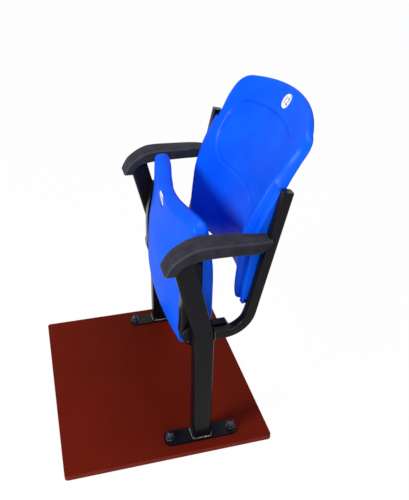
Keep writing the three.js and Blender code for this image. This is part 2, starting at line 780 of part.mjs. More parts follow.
// Brackets: flat plates welded to the back tubes' inner faces, behind the back's flanges.
const bolt_x = back_half_width + back_flank_width / 2;
const back_cuts = [loft(panel_loops), on_back(disc_pocket, back_disc_row)];
for (const [level, height] of [['upper', bracket_upper_height], ['lower', bracket_lower_height]]) {
  const [low, high] = [-0.5, 0.5].map((end) => {
    const row = back_row((height - back_bottom_height + end * bracket_height) / back_height);
    return back_point(row, 0, row.thickness);
  });
  const bracket_lean = Math.atan2(high.y - low.y, high.z - low.z);
  const bracket_place = low.clone().add(high).multiplyScalar(0.5);
  const tail = level === 'lower' ? bracket_tail_shares : [[1, -0.5], [0, -0.5]];
  const plate_shape = new THREE.Shape([[0, 0.5], [1, 0.5], ...tail].map(([inward, up]) => (
    new THREE.Vector2(tube_inner_x - inward * bracket_overlap, up * bracket_height))));
  const plate = slab(plate_shape, bracket_thickness);
  plate.rotateX(Math.PI / 2);
  plate.translate(0, bracket_thickness + bracket_gap, 0);
  const bore = new THREE.CylinderGeometry(back_bolt_diameter / 2 + fit_gap, back_bolt_diameter / 2 + fit_gap,
    2 * (back_bolt_grip + overrun), circle_segments);
  bore.translate(bolt_x, overrun, 0);
  const head_seat = bracket_thickness + bracket_gap + fit_gap;
  const shaft_end = head_seat + back_bolt_head_height / 2;
  const bolt_shaft = new THREE.CylinderGeometry(back_bolt_diameter / 2, back_bolt_diameter / 2,
    back_bolt_grip + shaft_end, circle_segments);
  bolt_shaft.translate(bolt_x, (shaft_end - back_bolt_grip) / 2, 0);
  const bolt_head = new THREE.CylinderGeometry(back_bolt_head_diameter / 2, back_bolt_head_diameter / 2,
    back_bolt_head_height, circle_segments);
  bolt_head.translate(bolt_x, head_seat + back_bolt_head_height / 2, 0);
  const seat = (geometry) => leaned(geometry, -bracket_lean, bracket_place);
  let bracket = cut(plate, [bore]);
  bracket = seat(bracket);
  add_pair(`back_bracket_${level}`, bracket, 'steel_black');
  add_pair(`back_bolt_${level}`, seat(join([bolt_shaft, bolt_head])), 'zinc');
  const shell_bore = new THREE.CylinderGeometry(back_bolt_diameter / 2 + fit_gap,
    back_bolt_diameter / 2 + fit_gap, 2 * (back_bolt_grip + fit_gap), circle_segments);
  for (const side of [-1, 1]) {
    back_cuts.push(seat(shell_bore.clone().translate(side * bolt_x, 0, 0)));
  }
}
add('back_shell', cut(loft(back_loops), back_cuts), 'blue');
add('back_number_disc', on_back(disc, back_disc_row), 'white');

// Tube end plugs.
const plug_size = back_tube_size - 2 * back_tube_wall - 2 * fit_gap;
const cap_plate = slab(round_rectangle(back_tube_size, back_tube_size, back_tube_corner_radius),
  tube_cap_thickness);
const cap_plug = slab(round_rectangle(plug_size, plug_size, back_tube_wall),
  tube_cap_plug_depth + tube_cap_thickness / 2);
cap_plug.translate(0, 0, -tube_cap_plug_depth);
const tube_cap = join([cap_plate, cap_plug]);
tube_cap.translate(0, 0, fit_gap);
add_pair('tube_cap', leaned(tube_cap, tube_lean, tube_top), 'plastic_black');

// Core bar of each armrest: caps the leg, then runs level to the back tube's front face.
function leg_point(along, across) {
  return [
    leg_top_y - along * Math.sin(leg_lean_angle) + across * Math.cos(leg_lean_angle),
    leg_top_z + along * Math.cos(leg_lean_angle) + across * Math.sin(leg_lean_angle),
  ];
}
function tube_front(z) {
  return tube_place(z - floor).y - back_tube_size / 2 / Math.cos(back_tube_lean_angle);
}
function core_outline(grow) {
  const low = floor + arm_core_height - grow;
  const high = floor + arm_core_height + arm_core_thickness + grow;
  const reach = leg_depth / 2;
  const [rear_y, rear_z] = leg_point(fit_gap, reach);
  const bend_y = rear_y + floor + arm_core_height - rear_z;
  const past = grow > 0 ? overrun : -fit_gap;
  return outline([
    leg_point(fit_gap - grow, leg_corner_radius - reach - grow), leg_point(fit_gap - grow, reach + grow),
    [bend_y + grow, low], [tube_front(low) + past, low], [tube_front(high) + past, high],
    [bend_y - arm_core_thickness / 2 - grow, high],
    leg_point(fit_gap + arm_core_thickness + grow, reach - arm_core_thickness / 2),
    leg_point(fit_gap + arm_core_thickness + grow, leg_corner_radius - reach - grow),
  ]);
}
add_pair('arm_core', side_slab(core_outline(0), tube_inner_x, stand_half_width), 'steel_black');
const core_pocket = side_slab(core_outline(fit_gap), tube_inner_x - fit_gap, stand_half_width + fit_gap);
const tube_notch = new THREE.BoxGeometry(arm_width, 2 * back_tube_size, 2 * arm_height);
tube_notch.translate(stand_half_width + fit_gap - arm_width / 2,
  back_tube_size / 2 - fit_gap, 0);
const arm_middle = tube_place((arm_top_height + arm_nose_height) / 2);
arm_middle.x = 0;
const arm_cuts = [leg_envelope, core_pocket, leaned(tube_notch, tube_lean, arm_middle)];
add_pair('armrest', cut(loft(arm_loops), arm_cuts), 'arm');

// Hinge plates with their gusset blocks.
const plate_high_z = floor + leg_knee_height + hinge_plate_rise;
const tail_span = hinge_plate_tail + pivot_forward;
function tail_point([along, up]) {
  return [pivot_y + along * tail_span, plate_high_z - (1 - up) * hinge_plate_tail_height];
}
const boss_points = [];
for (let i = 0; i <= face_segments; i += 1) {
  const angle = -Math.PI / 4 - 1.25 * Math.PI * i / face_segments;
  boss_points.push([
    pivot_y + hinge_boss_radius * Math.cos(angle), pivot_z + hinge_boss_radius * Math.sin(angle),
  ]);
}
const tail_points = hinge_tail_shares.map(tail_point);
const plate = side_slab(outline([...boss_points, ...tail_points]), plate_inner_x, leg_inner_x);
const block_start = leg_depth / 2;
const block_points = [
  [block_start, plate_high_z - hinge_plate_tail_height], [block_start, plate_high_z],
  ...tail_points.slice(1, -1),
];
const block = side_slab(outline(block_points), leg_inner_x - hinge_plate_thickness / 2, tube_inner_x);
const stop_y = pivot_y + stop_pin_radius * Math.cos(stop_pin_bearing);
const stop_z = pivot_z + stop_pin_radius * Math.sin(stop_pin_bearing);
const plate_bores = [
  bar_x(pin_diameter / 2 + fit_gap, plate_inner_x - overrun, leg_inner_x + overrun, pivot_y, pivot_z),
  bar_x(stop_pin_diameter / 2 + fit_gap, plate_inner_x - overrun, leg_inner_x + overrun, stop_y, stop_z),
];
add_pair('hinge_plate', cut(join([plate, block]), plate_bores), 'steel_black');

// Pivot pins with their heads, stop pins and sleeves.
const head_start = housing_inner_x + fit_gap;
const head_end = head_start + pin_head_thickness;
add_pair('pivot_pin', join([
  bar_x(pin_diameter / 2, head_start, leg_inner_x, pivot_y, pivot_z),
  bar_x(pin_head_diameter / 2, head_start, head_end, pivot_y, pivot_z),
]), 'zinc');
const stop_inner_x = housing_outer_x - housing_wall - stop_pin_past_wall;
add_pair('stop_pin', bar_x(stop_pin_diameter / 2, stop_inner_x, leg_inner_x, stop_y, stop_z), 'zinc');
const sleeve_end = plate_inner_x - fit_gap;
add_pair('stop_sleeve', cut(bar_x(stop_sleeve_diameter / 2, stop_inner_x, sleeve_end, stop_y, stop_z),
  [bar_x(stop_pin_diameter / 2 + fit_gap, stop_inner_x - overrun, leg_inner_x, stop_y, stop_z)]), 'rubber');

// Bushes between the housings' hubs and the pins.
const bush_bore_radius = pin_diameter / 2 + fit_gap;
const bush_radius = bush_bore_radius + bush_wall;
const hub_radius = bush_radius + fit_gap + bush_wall;
const collar_start = housing_outer_x + fit_gap;
const hub_inner_x = housing_outer_x - hub_length;
const bush = join([
  bar_x(bush_radius, hub_inner_x, collar_start + bush_collar_thickness / 2, pivot_y, pivot_z),
  bar_x(bush_collar_diameter / 2, collar_start, plate_inner_x - fit_gap, pivot_y, pivot_z),
]);
add_pair('pivot_bush', cut(bush, [
  bar_x(bush_bore_radius, hub_inner_x - overrun, leg_inner_x, pivot_y, pivot_z),
]), 'bush');

// Return springs: a coil round each pin between its head and the hub.
class CoilPath extends THREE.Curve {
  getPoint(t) {
    const angle = 2 * Math.PI * spring_turns * t;
    const start_x = head_end + fit_gap + spring_wire / 2;
    return new THREE.Vector3(start_x + spring_pitch * spring_turns * t,
      pivot_y + spring_coil_radius * Math.cos(angle), pivot_z + spring_coil_radius * Math.sin(angle));
  }
}
const wire = new THREE.Shape();
wire.absarc(0, 0, spring_wire / 2, 0, 2 * Math.PI, false);
add_pair('return_spring', new THREE.ExtrudeGeometry(wire, {
  steps: spring_segments * spring_turns, extrudePath: new CoilPath(), curveSegments: corner_segments,
}), 'zinc');

// A closed outline drawn in by a distance, square to each of its sides.
function drawn_in(points, distance) {
  return points.map((point, i) => {
    const before = points[(i + points.length - 1) % points.length];
    const after = points[(i + 1) % points.length];
    const into = new THREE.Vector2(point[0] - before[0], point[1] - before[1]).normalize();
    const out = new THREE.Vector2(after[0] - point[0], after[1] - point[1]).normalize();
    const middle = into.clone().add(out).normalize();
    const reach = distance / Math.max(middle.dot(out), mitre_limit_share);
    return [point[0] - middle.y * reach, point[1] + middle.x * reach];
  });
}

// Hinge housings: a round-edged black box, hollow and open toward the seat shell.
const housing_rise = housing_height - housing_round_radius;
const housing_points = [];
const round_end = -Math.acos(housing_rear_reach / housing_round_radius);
for (let i = 0; i <= arc_segments; i += 1) {
  const angle = -Math.PI + (round_end + Math.PI) * i / arc_segments;
  housing_points.push([
    pivot_y + housing_round_radius * Math.cos(angle), pivot_z + housing_round_radius * Math.sin(angle),
  ]);
}
for (let i = 0; i <= corner_segments; i += 1) {
  const angle = Math.PI / 2 * i / corner_segments;
  housing_points.push([
    pivot_y + housing_rear_reach - housing_top_radius * (1 - Math.cos(angle)),
    pivot_z + housing_rise - housing_top_radius * (1 - Math.sin(angle)),
  ]);
}
for (const [up, reach] of housing_front_shares.slice().reverse()) {
  housing_points.push([pivot_y - reach * housing_round_radius, pivot_z + up * housing_rise]);
}
const housing_block = side_slab(outline(housing_points), housing_inner_x,
  housing_outer_x - housing_edge_radius);
const housing_layers = [];
for (let i = 0; i <= corner_segments; i += 1) {
  const angle = Math.PI / 2 * i / corner_segments;
  const inward = housing_edge_radius * (1 - Math.cos(angle));
  const x = housing_outer_x - housing_edge_radius * (1 - Math.sin(angle));
  housing_layers.push(drawn_in(housing_points, inward).map(([y, z]) => loop_point(x, y, z, y, z)));
}
const hollow_points = drawn_in(housing_points, housing_wall);
const housing_wall_x = housing_outer_x - housing_wall;
const housing_hollow = side_slab(outline(hollow_points), housing_inner_x - overrun, housing_wall_x);
const slot_half = stop_sleeve_diameter / 2 + fit_gap;
const slot_start = stop_pin_bearing - seat_drop_angle;

// Points on an arc about a centre, without its last point.
function arc_points(centre, radius, from, to) {
  const points = [];
  for (let i = 0; i < arc_segments; i += 1) {
    const angle = from + (to - from) * i / arc_segments;
    points.push([centre[0] + radius * Math.cos(angle), centre[1] + radius * Math.sin(angle)]);
  }
  return points;
}
const slot_ends = [stop_pin_bearing, slot_start].map((bearing) => [
  pivot_y + stop_pin_radius * Math.cos(bearing), pivot_z + stop_pin_radius * Math.sin(bearing),
]);
const slot_points = [
  ...arc_points([pivot_y, pivot_z], stop_pin_radius + slot_half, slot_start, stop_pin_bearing),
  ...arc_points(slot_ends[0], slot_half, stop_pin_bearing, stop_pin_bearing + Math.PI),
  ...arc_points([pivot_y, pivot_z], stop_pin_radius - slot_half, stop_pin_bearing, slot_start),
  ...arc_points(slot_ends[1], slot_half, slot_start + Math.PI, slot_start + 2 * Math.PI),
];
const slot = side_slab(outline(slot_points),
  housing_outer_x - housing_wall - overrun, housing_outer_x + overrun);
let housing = solid(housing_block).add(solid(loft(housing_layers))).subtract(solid(housing_hollow));
const hub_end_x = housing_outer_x - housing_wall / 2;
housing = housing.add(solid(bar_x(hub_radius, hub_inner_x, hub_end_x, pivot_y, pivot_z)));
const screw_places = housing_screw_shares.map(([up, back]) => [
  pivot_y + back * housing_round_radius, pivot_z + up * housing_rise,
]);
const seat_cuts = [];
const screw_head_radius = housing_screw_diameter;
const screw_start = housing_inner_x - housing_screw_bite;
for (const [y, z] of screw_places) {
  const screw_boss = bar_x(screw_head_radius + housing_wall / 2, housing_inner_x, hub_end_x, y, z);
  housing = housing.add(solid(screw_boss));
}
for (const [i, [y, z]] of screw_places.entries()) {
  const head_x = housing_wall_x;
  const head_room = bar_x(screw_head_radius + fit_gap, head_x - fit_gap, housing_outer_x + overrun, y, z);
  housing = housing.subtract(solid(head_room));
  housing = housing.subtract(solid(bar_x(housing_screw_diameter / 2 + fit_gap, housing_inner_x - overrun,
    housing_outer_x, y, z)));
  add_pair(`housing_screw_${['lower', 'upper'][i]}`, join([
    bar_x(housing_screw_diameter / 2, screw_start, head_x + housing_wall / 2, y, z),
    bar_x(screw_head_radius, head_x, housing_outer_x - fit_gap, y, z),
  ]), 'zinc');
  for (const side of [-1, 1]) {
    const ends = [screw_start - fit_gap, housing_inner_x + overrun].map((x) => side * x);
    seat_cuts.push(bar_x(housing_screw_diameter / 2 + fit_gap, Math.min(...ends), Math.max(...ends), y, z));
  }
}
const bush_room = bar_x(bush_radius + fit_gap, hub_inner_x - overrun, housing_outer_x + overrun,
  pivot_y, pivot_z);
housing = housing.subtract(solid(bush_room));
housing = housing.subtract(solid(slot));
add_pair('hinge_housing', shape_of(housing), 'plastic_black');

// Seat shell, folded up: loops across the seat from the hinge end to the lip.
const seat_table = table_curve(seat_row_shares);
const seat_end_z = pivot_z - seat_below_pivot;
const rim_y = pivot_y + seat_rear_reach;
function seat_front(share, x, half) {
  const [, side, middle] = seat_table(share);
  const side_depth = side * seat_side_depth;
  const crown = middle * seat_middle_depth - side_depth;
  return rim_y - side_depth - crown * (1 - (x / half) * (x / half));
}
function seat_rear(share, x, half) {
  const [, , , dish, rim] = seat_table(share);
  const across = Math.min(Math.abs(x) / (half - seat_rim_width), 1);
  const hollow = (1 - across * across) * (1 - across * across);
  return pivot_y + rim * seat_rear_reach - dish * seat_dish_depth * hollow;
}
function seat_loop(share, squeeze) {
  const along = share * seat_length;
  const half = seat_half_width - Math.max(corner_inset(seat_length - along, seat_corner_radius),
    corner_inset(along, seat_foot_corner_radius));
  const flat = half - seat_edge_radius;
  const near = seat_edge_radius * (1 - Math.SQRT1_2);
  const side = [];
  const rear_edge = seat_rear(share, flat, half);
  const front_edge = seat_front(share, flat, half);
  side.push([flat, rear_edge], [half - near, rear_edge - near], [half, rear_edge - seat_edge_radius]);
  side.push([half, front_edge + seat_edge_radius], [half - near, front_edge + near], [flat, front_edge]);
  const points = [];
  for (let i = 1; i < face_segments; i += 1) {
    const x = flat * (2 * i / face_segments - 1);
    points.push([x, seat_rear(share, x, half)]);
  }
  points.push(...side);
  for (let i = 1; i < face_segments; i += 1) {
    const x = flat * (1 - 2 * i / face_segments);
    points.push([x, seat_front(share, x, half)]);
  }
  points.push(...side.slice().reverse().map(([x, y]) => [-x, y]));
  return points.map(([x, y]) => {
    const middle = (seat_rear(share, x, half) + seat_front(share, x, half)) / 2;
    const across = x / half;
    const dip = seat_lip_dip * (1 - across * across) * share * share * share;
    const squeezed = middle + (y - middle) * squeeze;
    return loop_point(x, squeezed, seat_end_z + along - dip, x, squeezed);
  });
}
const seat_loops = seat_loop_shares.map(([share, squeeze]) => seat_loop(share, squeeze));
const recess_top_z = pivot_z + housing_rise + fit_gap;
for (const side of [-1, 1]) {
  const recess = new THREE.BoxGeometry(seat_half_width, seat_middle_depth + overrun, seat_length);
  recess.translate(side * (housing_inner_x + seat_half_width / 2),
    pivot_y + housing_rear_reach + fit_gap - (seat_middle_depth + overrun) / 2,
    recess_top_z - seat_length / 2);
  seat_cuts.push(recess);
}

// Number disc on the outer face of the seat, near its lip.
const seat_disc_share = 1 - seat_disc_drop / seat_length;
const seat_disc_step = seat_disc_drop / seat_length;
const disc_rise = seat_length * 2 * seat_disc_step;
const disc_run = seat_front(Math.min(seat_disc_share + seat_disc_step, 1), 0, seat_half_width)
  - seat_front(seat_disc_share - seat_disc_step, 0, seat_half_width);
const seat_disc_lean = Math.atan2(disc_run, disc_rise) + seat_disc_tilt;
const seat_disc_place = new THREE.Vector3(0, seat_front(seat_disc_share, 0, seat_half_width),
  seat_end_z + seat_length - seat_lip_dip - seat_disc_drop);
seat_cuts.push(leaned(disc_pocket, -seat_disc_lean, seat_disc_place));
add('seat_number_disc', leaned(disc, -seat_disc_lean, seat_disc_place), 'white');
add('seat_shell', cut(loft(seat_loops), seat_cuts), 'blue');

export default group;
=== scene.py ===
"""The looks of a folded tip-up stadium seat with armrests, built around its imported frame.

Shapes are worked out in millimetres in the frame's own axes: the sitter faces -Y, +X is the sitter's
left, +Z is up and the deck board's underside is z = 0.
"""

import json
import math

import bmesh
import bpy
import numpy as np
from mathutils import Matrix, Vector


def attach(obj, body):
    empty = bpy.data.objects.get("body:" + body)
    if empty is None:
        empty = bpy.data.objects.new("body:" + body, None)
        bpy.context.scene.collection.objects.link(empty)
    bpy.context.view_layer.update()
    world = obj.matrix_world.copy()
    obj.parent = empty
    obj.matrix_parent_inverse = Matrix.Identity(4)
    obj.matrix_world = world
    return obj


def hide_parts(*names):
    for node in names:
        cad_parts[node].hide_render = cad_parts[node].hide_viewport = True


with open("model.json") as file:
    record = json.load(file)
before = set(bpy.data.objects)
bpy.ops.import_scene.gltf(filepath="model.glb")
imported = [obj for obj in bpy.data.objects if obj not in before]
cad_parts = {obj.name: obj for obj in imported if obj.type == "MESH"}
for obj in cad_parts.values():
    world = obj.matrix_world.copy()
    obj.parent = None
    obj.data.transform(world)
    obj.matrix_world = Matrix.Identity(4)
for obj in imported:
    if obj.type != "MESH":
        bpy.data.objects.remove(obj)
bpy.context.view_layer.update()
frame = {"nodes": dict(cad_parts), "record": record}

MM = 0.001
MERGE_METRES, THIN_METRES = 2e-6, 1e-7
SHARP_DEGREES = 38
SIDES = (("left", 1.0), ("right", -1.0))


# Helpers for the surfaces

def through(table, shares):
    """Smooth values between the rows of a table whose first column rises: cubic Hermite pieces whose slopes
    are those of the chords over two rows. Gives one array per column after the first."""
    rows = np.asarray(table, float)
    knots = rows[:, 0]
    place = np.clip(np.searchsorted(knots, shares, side="left") - 1, 0, len(knots) - 2)
    before, after = np.maximum(place - 1, 0), np.minimum(place + 2, len(knots) - 1)
    span = knots[place + 1] - knots[place]
    t = (shares - knots[place]) / span
    ease = t * t * (3 - 2 * t)
    columns = []
    for values in rows.T[1:]:
        slope_in = (values[place + 1] - values[before]) / (knots[place + 1] - knots[before]) * span
        slope_out = (values[after] - values[place]) / (knots[after] - knots[place]) * span
        columns.append(values[place] + (values[place + 1] - values[place]) * ease
                       + slope_in * t * (1 - t) ** 2 - slope_out * t * t * (1 - t))
    return columns


def drawn_in_by(distance, radius):
    """How far a round corner of that radius draws an outline in at a distance from its end: the radius
    less the root of the radius squared less what is left of it squared."""
    left = np.clip(radius - distance, 0, radius)
    return radius - np.sqrt(radius * radius - left * left)


def softened(loop, passes):
    """Rounds the corners of closed loops: each point moves half way to the middle of its two neighbours."""
    for _ in range(passes):
        loop = loop / 2 + (np.roll(loop, 1, axis=1) + np.roll(loop, -1, axis=1)) / 4
    return loop


def evened(points, count):
    """A polyline's points at even steps along its length."""
    points = np.asarray(points, float)
    steps = np.hypot(*np.diff(points, axis=0).T)
    along = np.concatenate([[0], np.cumsum(steps)])
    places = np.linspace(0, along[-1], count)
    return np.stack([np.interp(places, along, points[:, i]) for i in range(points.shape[1])], axis=1)


def smoothstep(value):
    """Rises from 0 to 1 as the value does, with level ends."""
    value = np.clip(value, 0, 1)
    return value * value * (3 - 2 * value)


def quarter_turn(count):
    """Even angles from nothing to a right angle."""
    return np.linspace(0, math.pi / 2, count)


def quarter_circle(share):
    """How far a quarter circle has risen at a share of its run: the root of one less the square of the run
    that is left."""
    return np.sqrt(1 - (1 - np.clip(share, 0, 1)) ** 2)


def closing_shares(end, end_count, count):
    """Shares from 0 to 1 for loops that close at both ends: there, over an end share, they crowd as one less
    the cosine of even angles does, and between they are even."""
    ends = end * (1 - np.cos(quarter_turn(end_count)))
    return np.concatenate([ends, np.linspace(end, 1 - end, count)[1:-1], 1 - ends[::-1]])


def unit_rows(vectors):
    """Rows of vectors, each at length 1."""
    return vectors / np.linalg.norm(vectors, axis=1, keepdims=True)


def round_box_parts(corner_steps=6):
    """The signs of the four corners of a box and the unit circle's points in each, for every point of a
    round-cornered loop that runs once round."""
    angle = np.arange(4)[:, None] * math.pi / 2 + quarter_turn(corner_steps)
    signs = np.repeat(np.array([[1, 1], [-1, 1], [-1, -1], [1, -1]], float), corner_steps, axis=0)
    return signs, np.stack([np.cos(angle), np.sin(angle)], axis=-1).reshape(-1, 2)


def round_box_loop(width, depth, radius, corner_steps=6):
    """A rectangle with round corners about the origin: each corner's centre plus its arc."""
    signs, arcs = round_box_parts(corner_steps)
    return signs * (np.array([width, depth]) / 2 - radius) + radius * arcs


def placed(name, data):
    """An object with that data, linked to the scene."""
    made = bpy.data.objects.new(name, data)
    bpy.context.scene.collection.objects.link(made)
    return made


def baked(piece):
    """A piece's mesh with its modifiers worked in."""
    return bpy.data.meshes.new_from_object(piece.evaluated_get(bpy.context.evaluated_depsgraph_get()))


def smooth_up_to(mesh, degrees):
    """Shades a mesh smooth wherever its faces meet at less than an angle."""
    mesh.shade_smooth()
    mesh.set_sharp_from_angle(angle=math.radians(degrees))


def skin(name, rows, closed_rows=False, sharp_degrees=SHARP_DEGREES):
    """Puts a grid of points, rows of closed loops in millimetres, into a mesh of quads that is merged, turned
    outward and smooth up to an angle. Open ends get one flat face each. With closed_rows the last row joins
    the first."""
    count, around = rows.shape[:2]
    last = count if closed_rows else count - 1
    row, column = np.meshgrid(np.arange(last), np.arange(around), indexing="ij")
    beside = (column + 1) % around
    here, above = row * around, (row + 1) % count * around
    faces = np.stack([here + column, here + beside, above + beside, above + column], axis=-1).reshape(-1, 4)
    mesh = bpy.data.meshes.new(name)
    mesh.from_pydata((rows.reshape(-1, 3) * MM).tolist(), [], faces.tolist())
    work = bmesh.new()
    work.from_mesh(mesh)
    bmesh.ops.remove_doubles(work, verts=work.verts, dist=MERGE_METRES)
    bmesh.ops.dissolve_degenerate(work, edges=work.edges, dist=THIN_METRES)
    bmesh.ops.holes_fill(work, edges=[edge for edge in work.edges if edge.is_boundary], sides=0)
    bmesh.ops.recalc_face_normals(work, faces=work.faces)
    work.to_mesh(mesh)
    work.free()
    smooth_up_to(mesh, sharp_degrees)
    return placed(name, mesh)


def prism_rows(outline, from_x, to_x):
    """The two loops of a prism: an outline of (y, z) points at two places along X."""
    outline = np.asarray(outline, float)
    return np.stack([np.column_stack([np.full(len(outline), x), outline]) for x in (from_x, to_x)])


def bar_rows(radius, from_x, to_x, y, z, steps=48):
    """The two loops of a round bar along X: a circle in Y and Z at two places."""
    angle = np.linspace(0, 2 * math.pi, steps, endpoint=False)
    return prism_rows(np.column_stack([y + radius * np.cos(angle), z + radius * np.sin(angle)]), from_x, to_x)


def cut_by(piece, cutters, sharp_degrees=SHARP_DEGREES):
    """Takes closed grids of points out of a piece with booleans, and bakes the result."""
    for number, rows in enumerate(cutters):
        tool = skin(f"{piece.name}_cutter_{number}", rows)
        modifier = piece.modifiers.new("cut", "BOOLEAN")
        modifier.operation, modifier.solver, modifier.object = "DIFFERENCE", "MANIFOLD", tool
        mesh = baked(piece)
        piece.modifiers.clear()
        piece.data = mesh
        bpy.data.objects.remove(tool)
    smooth_up_to(piece.data, sharp_degrees)


def dress(piece, body, slot, replaced=(), material=None):
    """Gives a finished piece its body and its material, which is its slot's own unless one is named, and
    hides the nodes that it stands for."""
    piece.data.materials.clear()
    piece.data.materials.append(material or finishes[slot])
    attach(piece, body)
    if replaced:
        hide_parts(*replaced)


def mirrored(rows, side):
    """The same grid, on the right-hand side where side is -1."""
    return rows * np.array([side, 1, 1])


def pair(name, rows, body, slot, stands_for="", cutters=(), sharp_degrees=SHARP_DEGREES):
    """A left-hand piece from its grid, cut and dressed, and its mirror image on the right. Each stands for
    its side's node of the name given."""
    for side_name, side in SIDES:
        piece = skin(f"{name}_{side_name}", mirrored(rows, side), sharp_degrees=sharp_degrees)
        if cutters:
            cut_by(piece, [mirrored(cutter, side) for cutter in cutters], sharp_degrees)
        dress(piece, body, slot, [f"{stands_for}_{side_name}"] if stands_for else ())


# Helpers for the materials

def paint(hex_colour):
    """An sRGB hex colour as linear red, green, blue and alpha."""
    values = [int(hex_colour[i:i + 2], 16) / 255 for i in (1, 3, 5)]
    return [v / 12.92 if v <= 0.04045 else ((v + 0.055) / 1.055) ** 2.4 for v in values] + [1.0]


def node(tree, kind, **settings):
    """Adds a node. Settings name its properties, or its inputs by number after an underscore or by name with
    an underscore for a blank. A socket given for an input is linked to it."""
    made = tree.nodes.new(kind)
    for key, value in settings.items():
        if hasattr(made, key):
            setattr(made, key, value)
            continue
        socket = made.inputs[int(key[1:]) if key[1:].isdigit() else key.replace("_", " ")]
        if isinstance(value, bpy.types.NodeSocket):
            tree.links.new(value, socket)
        else:
            socket.default_value = value
    return made


def waves_per_metre(size_mm):
    """The scale of a pattern whose patches are about that many millimetres apart."""
    return 1000.0 / size_mm


def noise(tree, place, size_mm, detail):
    """A noise with patches of that size."""
    return node(tree, "ShaderNodeTexNoise", Vector=place, Scale=waves_per_metre(size_mm),
                Detail=detail).outputs["Fac"]


def ranged(tree, value, from_low, from_high, to_low=0.0, to_high=1.0):
    """A value carried from one range into another, and held within it."""
    return node(tree, "ShaderNodeMapRange", Value=value, From_Min=from_low, From_Max=from_high,
                To_Min=to_low, To_Max=to_high).outputs["Result"]


def worked_out(tree, operation, first, second=0.0):
    """One sum, such as MULTIPLY or SINE, of one or two values."""
    return node(tree, "ShaderNodeMath", operation=operation, _0=first, _1=second).outputs[0]


def mixed(tree, share, first, second):
    """A colour between two by a share. Each is a hex colour or the socket of a pattern."""
    first, second = (paint(colour) if isinstance(colour, str) else colour for colour in (first, second))
    return node(tree, "ShaderNodeMix", data_type="RGBA", Factor=share, _6=first, _7=second).outputs[2]


def tinted(tree, place, size_mm, dark, light):
    """A colour that wanders between two hex colours over patches of that size."""
    return mixed(tree, ranged(tree, noise(tree, place, size_mm, 4.0), 0.35, 0.65), dark, light)


def roughened(tree, place, size_mm, low, high):
    """A roughness that wanders between two values over patches of that size."""
    return ranged(tree, noise(tree, place, size_mm, 3.0), 0.3, 0.7, low, high)


def bumped(tree, height, height_mm, strength):
    """A bump from a field of heights, whose full height is that many millimetres."""
    return node(tree, "ShaderNodeBump", Height=height, Strength=strength,
                Distance=height_mm * MM).outputs["Normal"]


def grained(tree, place, size_mm, height_mm, strength, pebbled=False):
    """A bump whose grains have that size and height: a noise, or the closed cells of pebbled leather."""
    if pebbled:
        height = node(tree, "ShaderNodeTexVoronoi", Vector=place,
                      Scale=waves_per_metre(size_mm)).outputs["Distance"]
    else:
        height = noise(tree, place, size_mm, 2.0)
    return bumped(tree, height, height_mm, strength)


def surface(name, colour, roughness, metallic=0.0, ior=1.5, gloss=0.5, film=0.0, film_roughness=0.2,
            tints=None, wander=None, grain=None):
    """A material with a principled shader, and the Object coordinates that its patterns read. The film is
    a thin clear layer on top, as polish or flowed paint leaves. Tints, wander and grain are what tinted,
    roughened and grained take after the place."""
    made = bpy.data.materials.new(name)
    made.use_nodes = True
    tree = made.node_tree
    shader = tree.nodes["Principled BSDF"]
    shader.inputs["Base Color"].default_value = paint(colour)
    shader.inputs["Roughness"].default_value = roughness
    shader.inputs["Metallic"].default_value = metallic
    if not metallic:
        shader.inputs["IOR"].default_value = ior
        shader.inputs["Specular IOR Level"].default_value = gloss
    shader.inputs["Coat Weight"].default_value = film
    shader.inputs["Coat Roughness"].default_value = film_roughness
    place = node(tree, "ShaderNodeTexCoord").outputs["Object"]
    for pattern, key, settings in ((tinted, "Base Color", tints), (roughened, "Roughness", wander),
                                   (grained, "Normal", grain)):
        if settings:
            tree.links.new(pattern(tree, place, *settings), shader.inputs[key])
    return made, tree, shader, place


# Materials

def blow_moulded_polyethylene():
    """Blue polyethylene, blown against a sand-blasted mould. The eye sees a waxy half-gloss: broad soft
    highlights, a faint orange peel of about 6 mm and roughness that wanders a little."""
    return surface("blow_moulded_polyethylene", "#0656EA", 0.32, ior=1.51, gloss=0.0, film=0.2,
                   film_roughness=0.32, tints=(90, "#0452E5", "#085BF0"), wander=(30, 0.29, 0.35),
                   grain=(6, 0.04, 0.2))[0]


def powder_coated_steel():
    """Mild steel tube under black polyester powder. The coat flows before it cures, so it shows a fine
    orange peel of about 1.5 mm, drawn at 2 mm so that it shows, and a satin sheen."""
    return surface("powder_coated_steel", "#0E0E12", 0.3, gloss=0.03, film=0.22,
                   tints=(60, "#0C0C10", "#111115"), wander=(14, 0.26, 0.36), grain=(2, 0.06, 0.35))[0]


def integral_skin_polyurethane():
    """Charcoal polyurethane foam with its own skin, moulded against a leather-grained tool. The eye sees a
    dull, slightly mottled grey with grain of about 1.2 mm, drawn at 1.6 mm, and a painted highlight that greys
    its edges."""
    made, tree, shader, place = surface("integral_skin_polyurethane", "#2B2A32", 0.62, gloss=0.08,
                                        wander=(8, 0.55, 0.70), grain=(1.6, 0.12, 0.45, True))
    # Painted highlight: pointiness lightens the convex edges towards a pale grey.
    edge = node(tree, "ShaderNodeNewGeometry").outputs["Pointiness"]
    base = tinted(tree, place, 26, "#26252D", "#313039")
    tree.links.new(mixed(tree, ranged(tree, edge, 0.515, 0.57), base, "#74737B"), shader.inputs["Base Color"])
    return made


def powder_coated_weld():
    """A weld bead under the same black powder. The coat pools thick and glossy over the ripples, so the eye
    catches small sharp glints."""
    return surface("powder_coated_weld", "#111114", 0.18, ior=1.52, wander=(6, 0.13, 0.24),
                   grain=(2, 0.08, 0.3))[0]


def zinc_plated_steel():
    """Cold-headed steel with a thin bright zinc plate. The eye sees a grey metal with a faint blue and violet
    cast from its passivation, and blurred reflections."""
    return surface("zinc_plated_steel", "#5A5662", 0.34, metallic=1.0, tints=(5, "#47434F", "#716D78"),
                   wander=(3, 0.26, 0.44))[0]


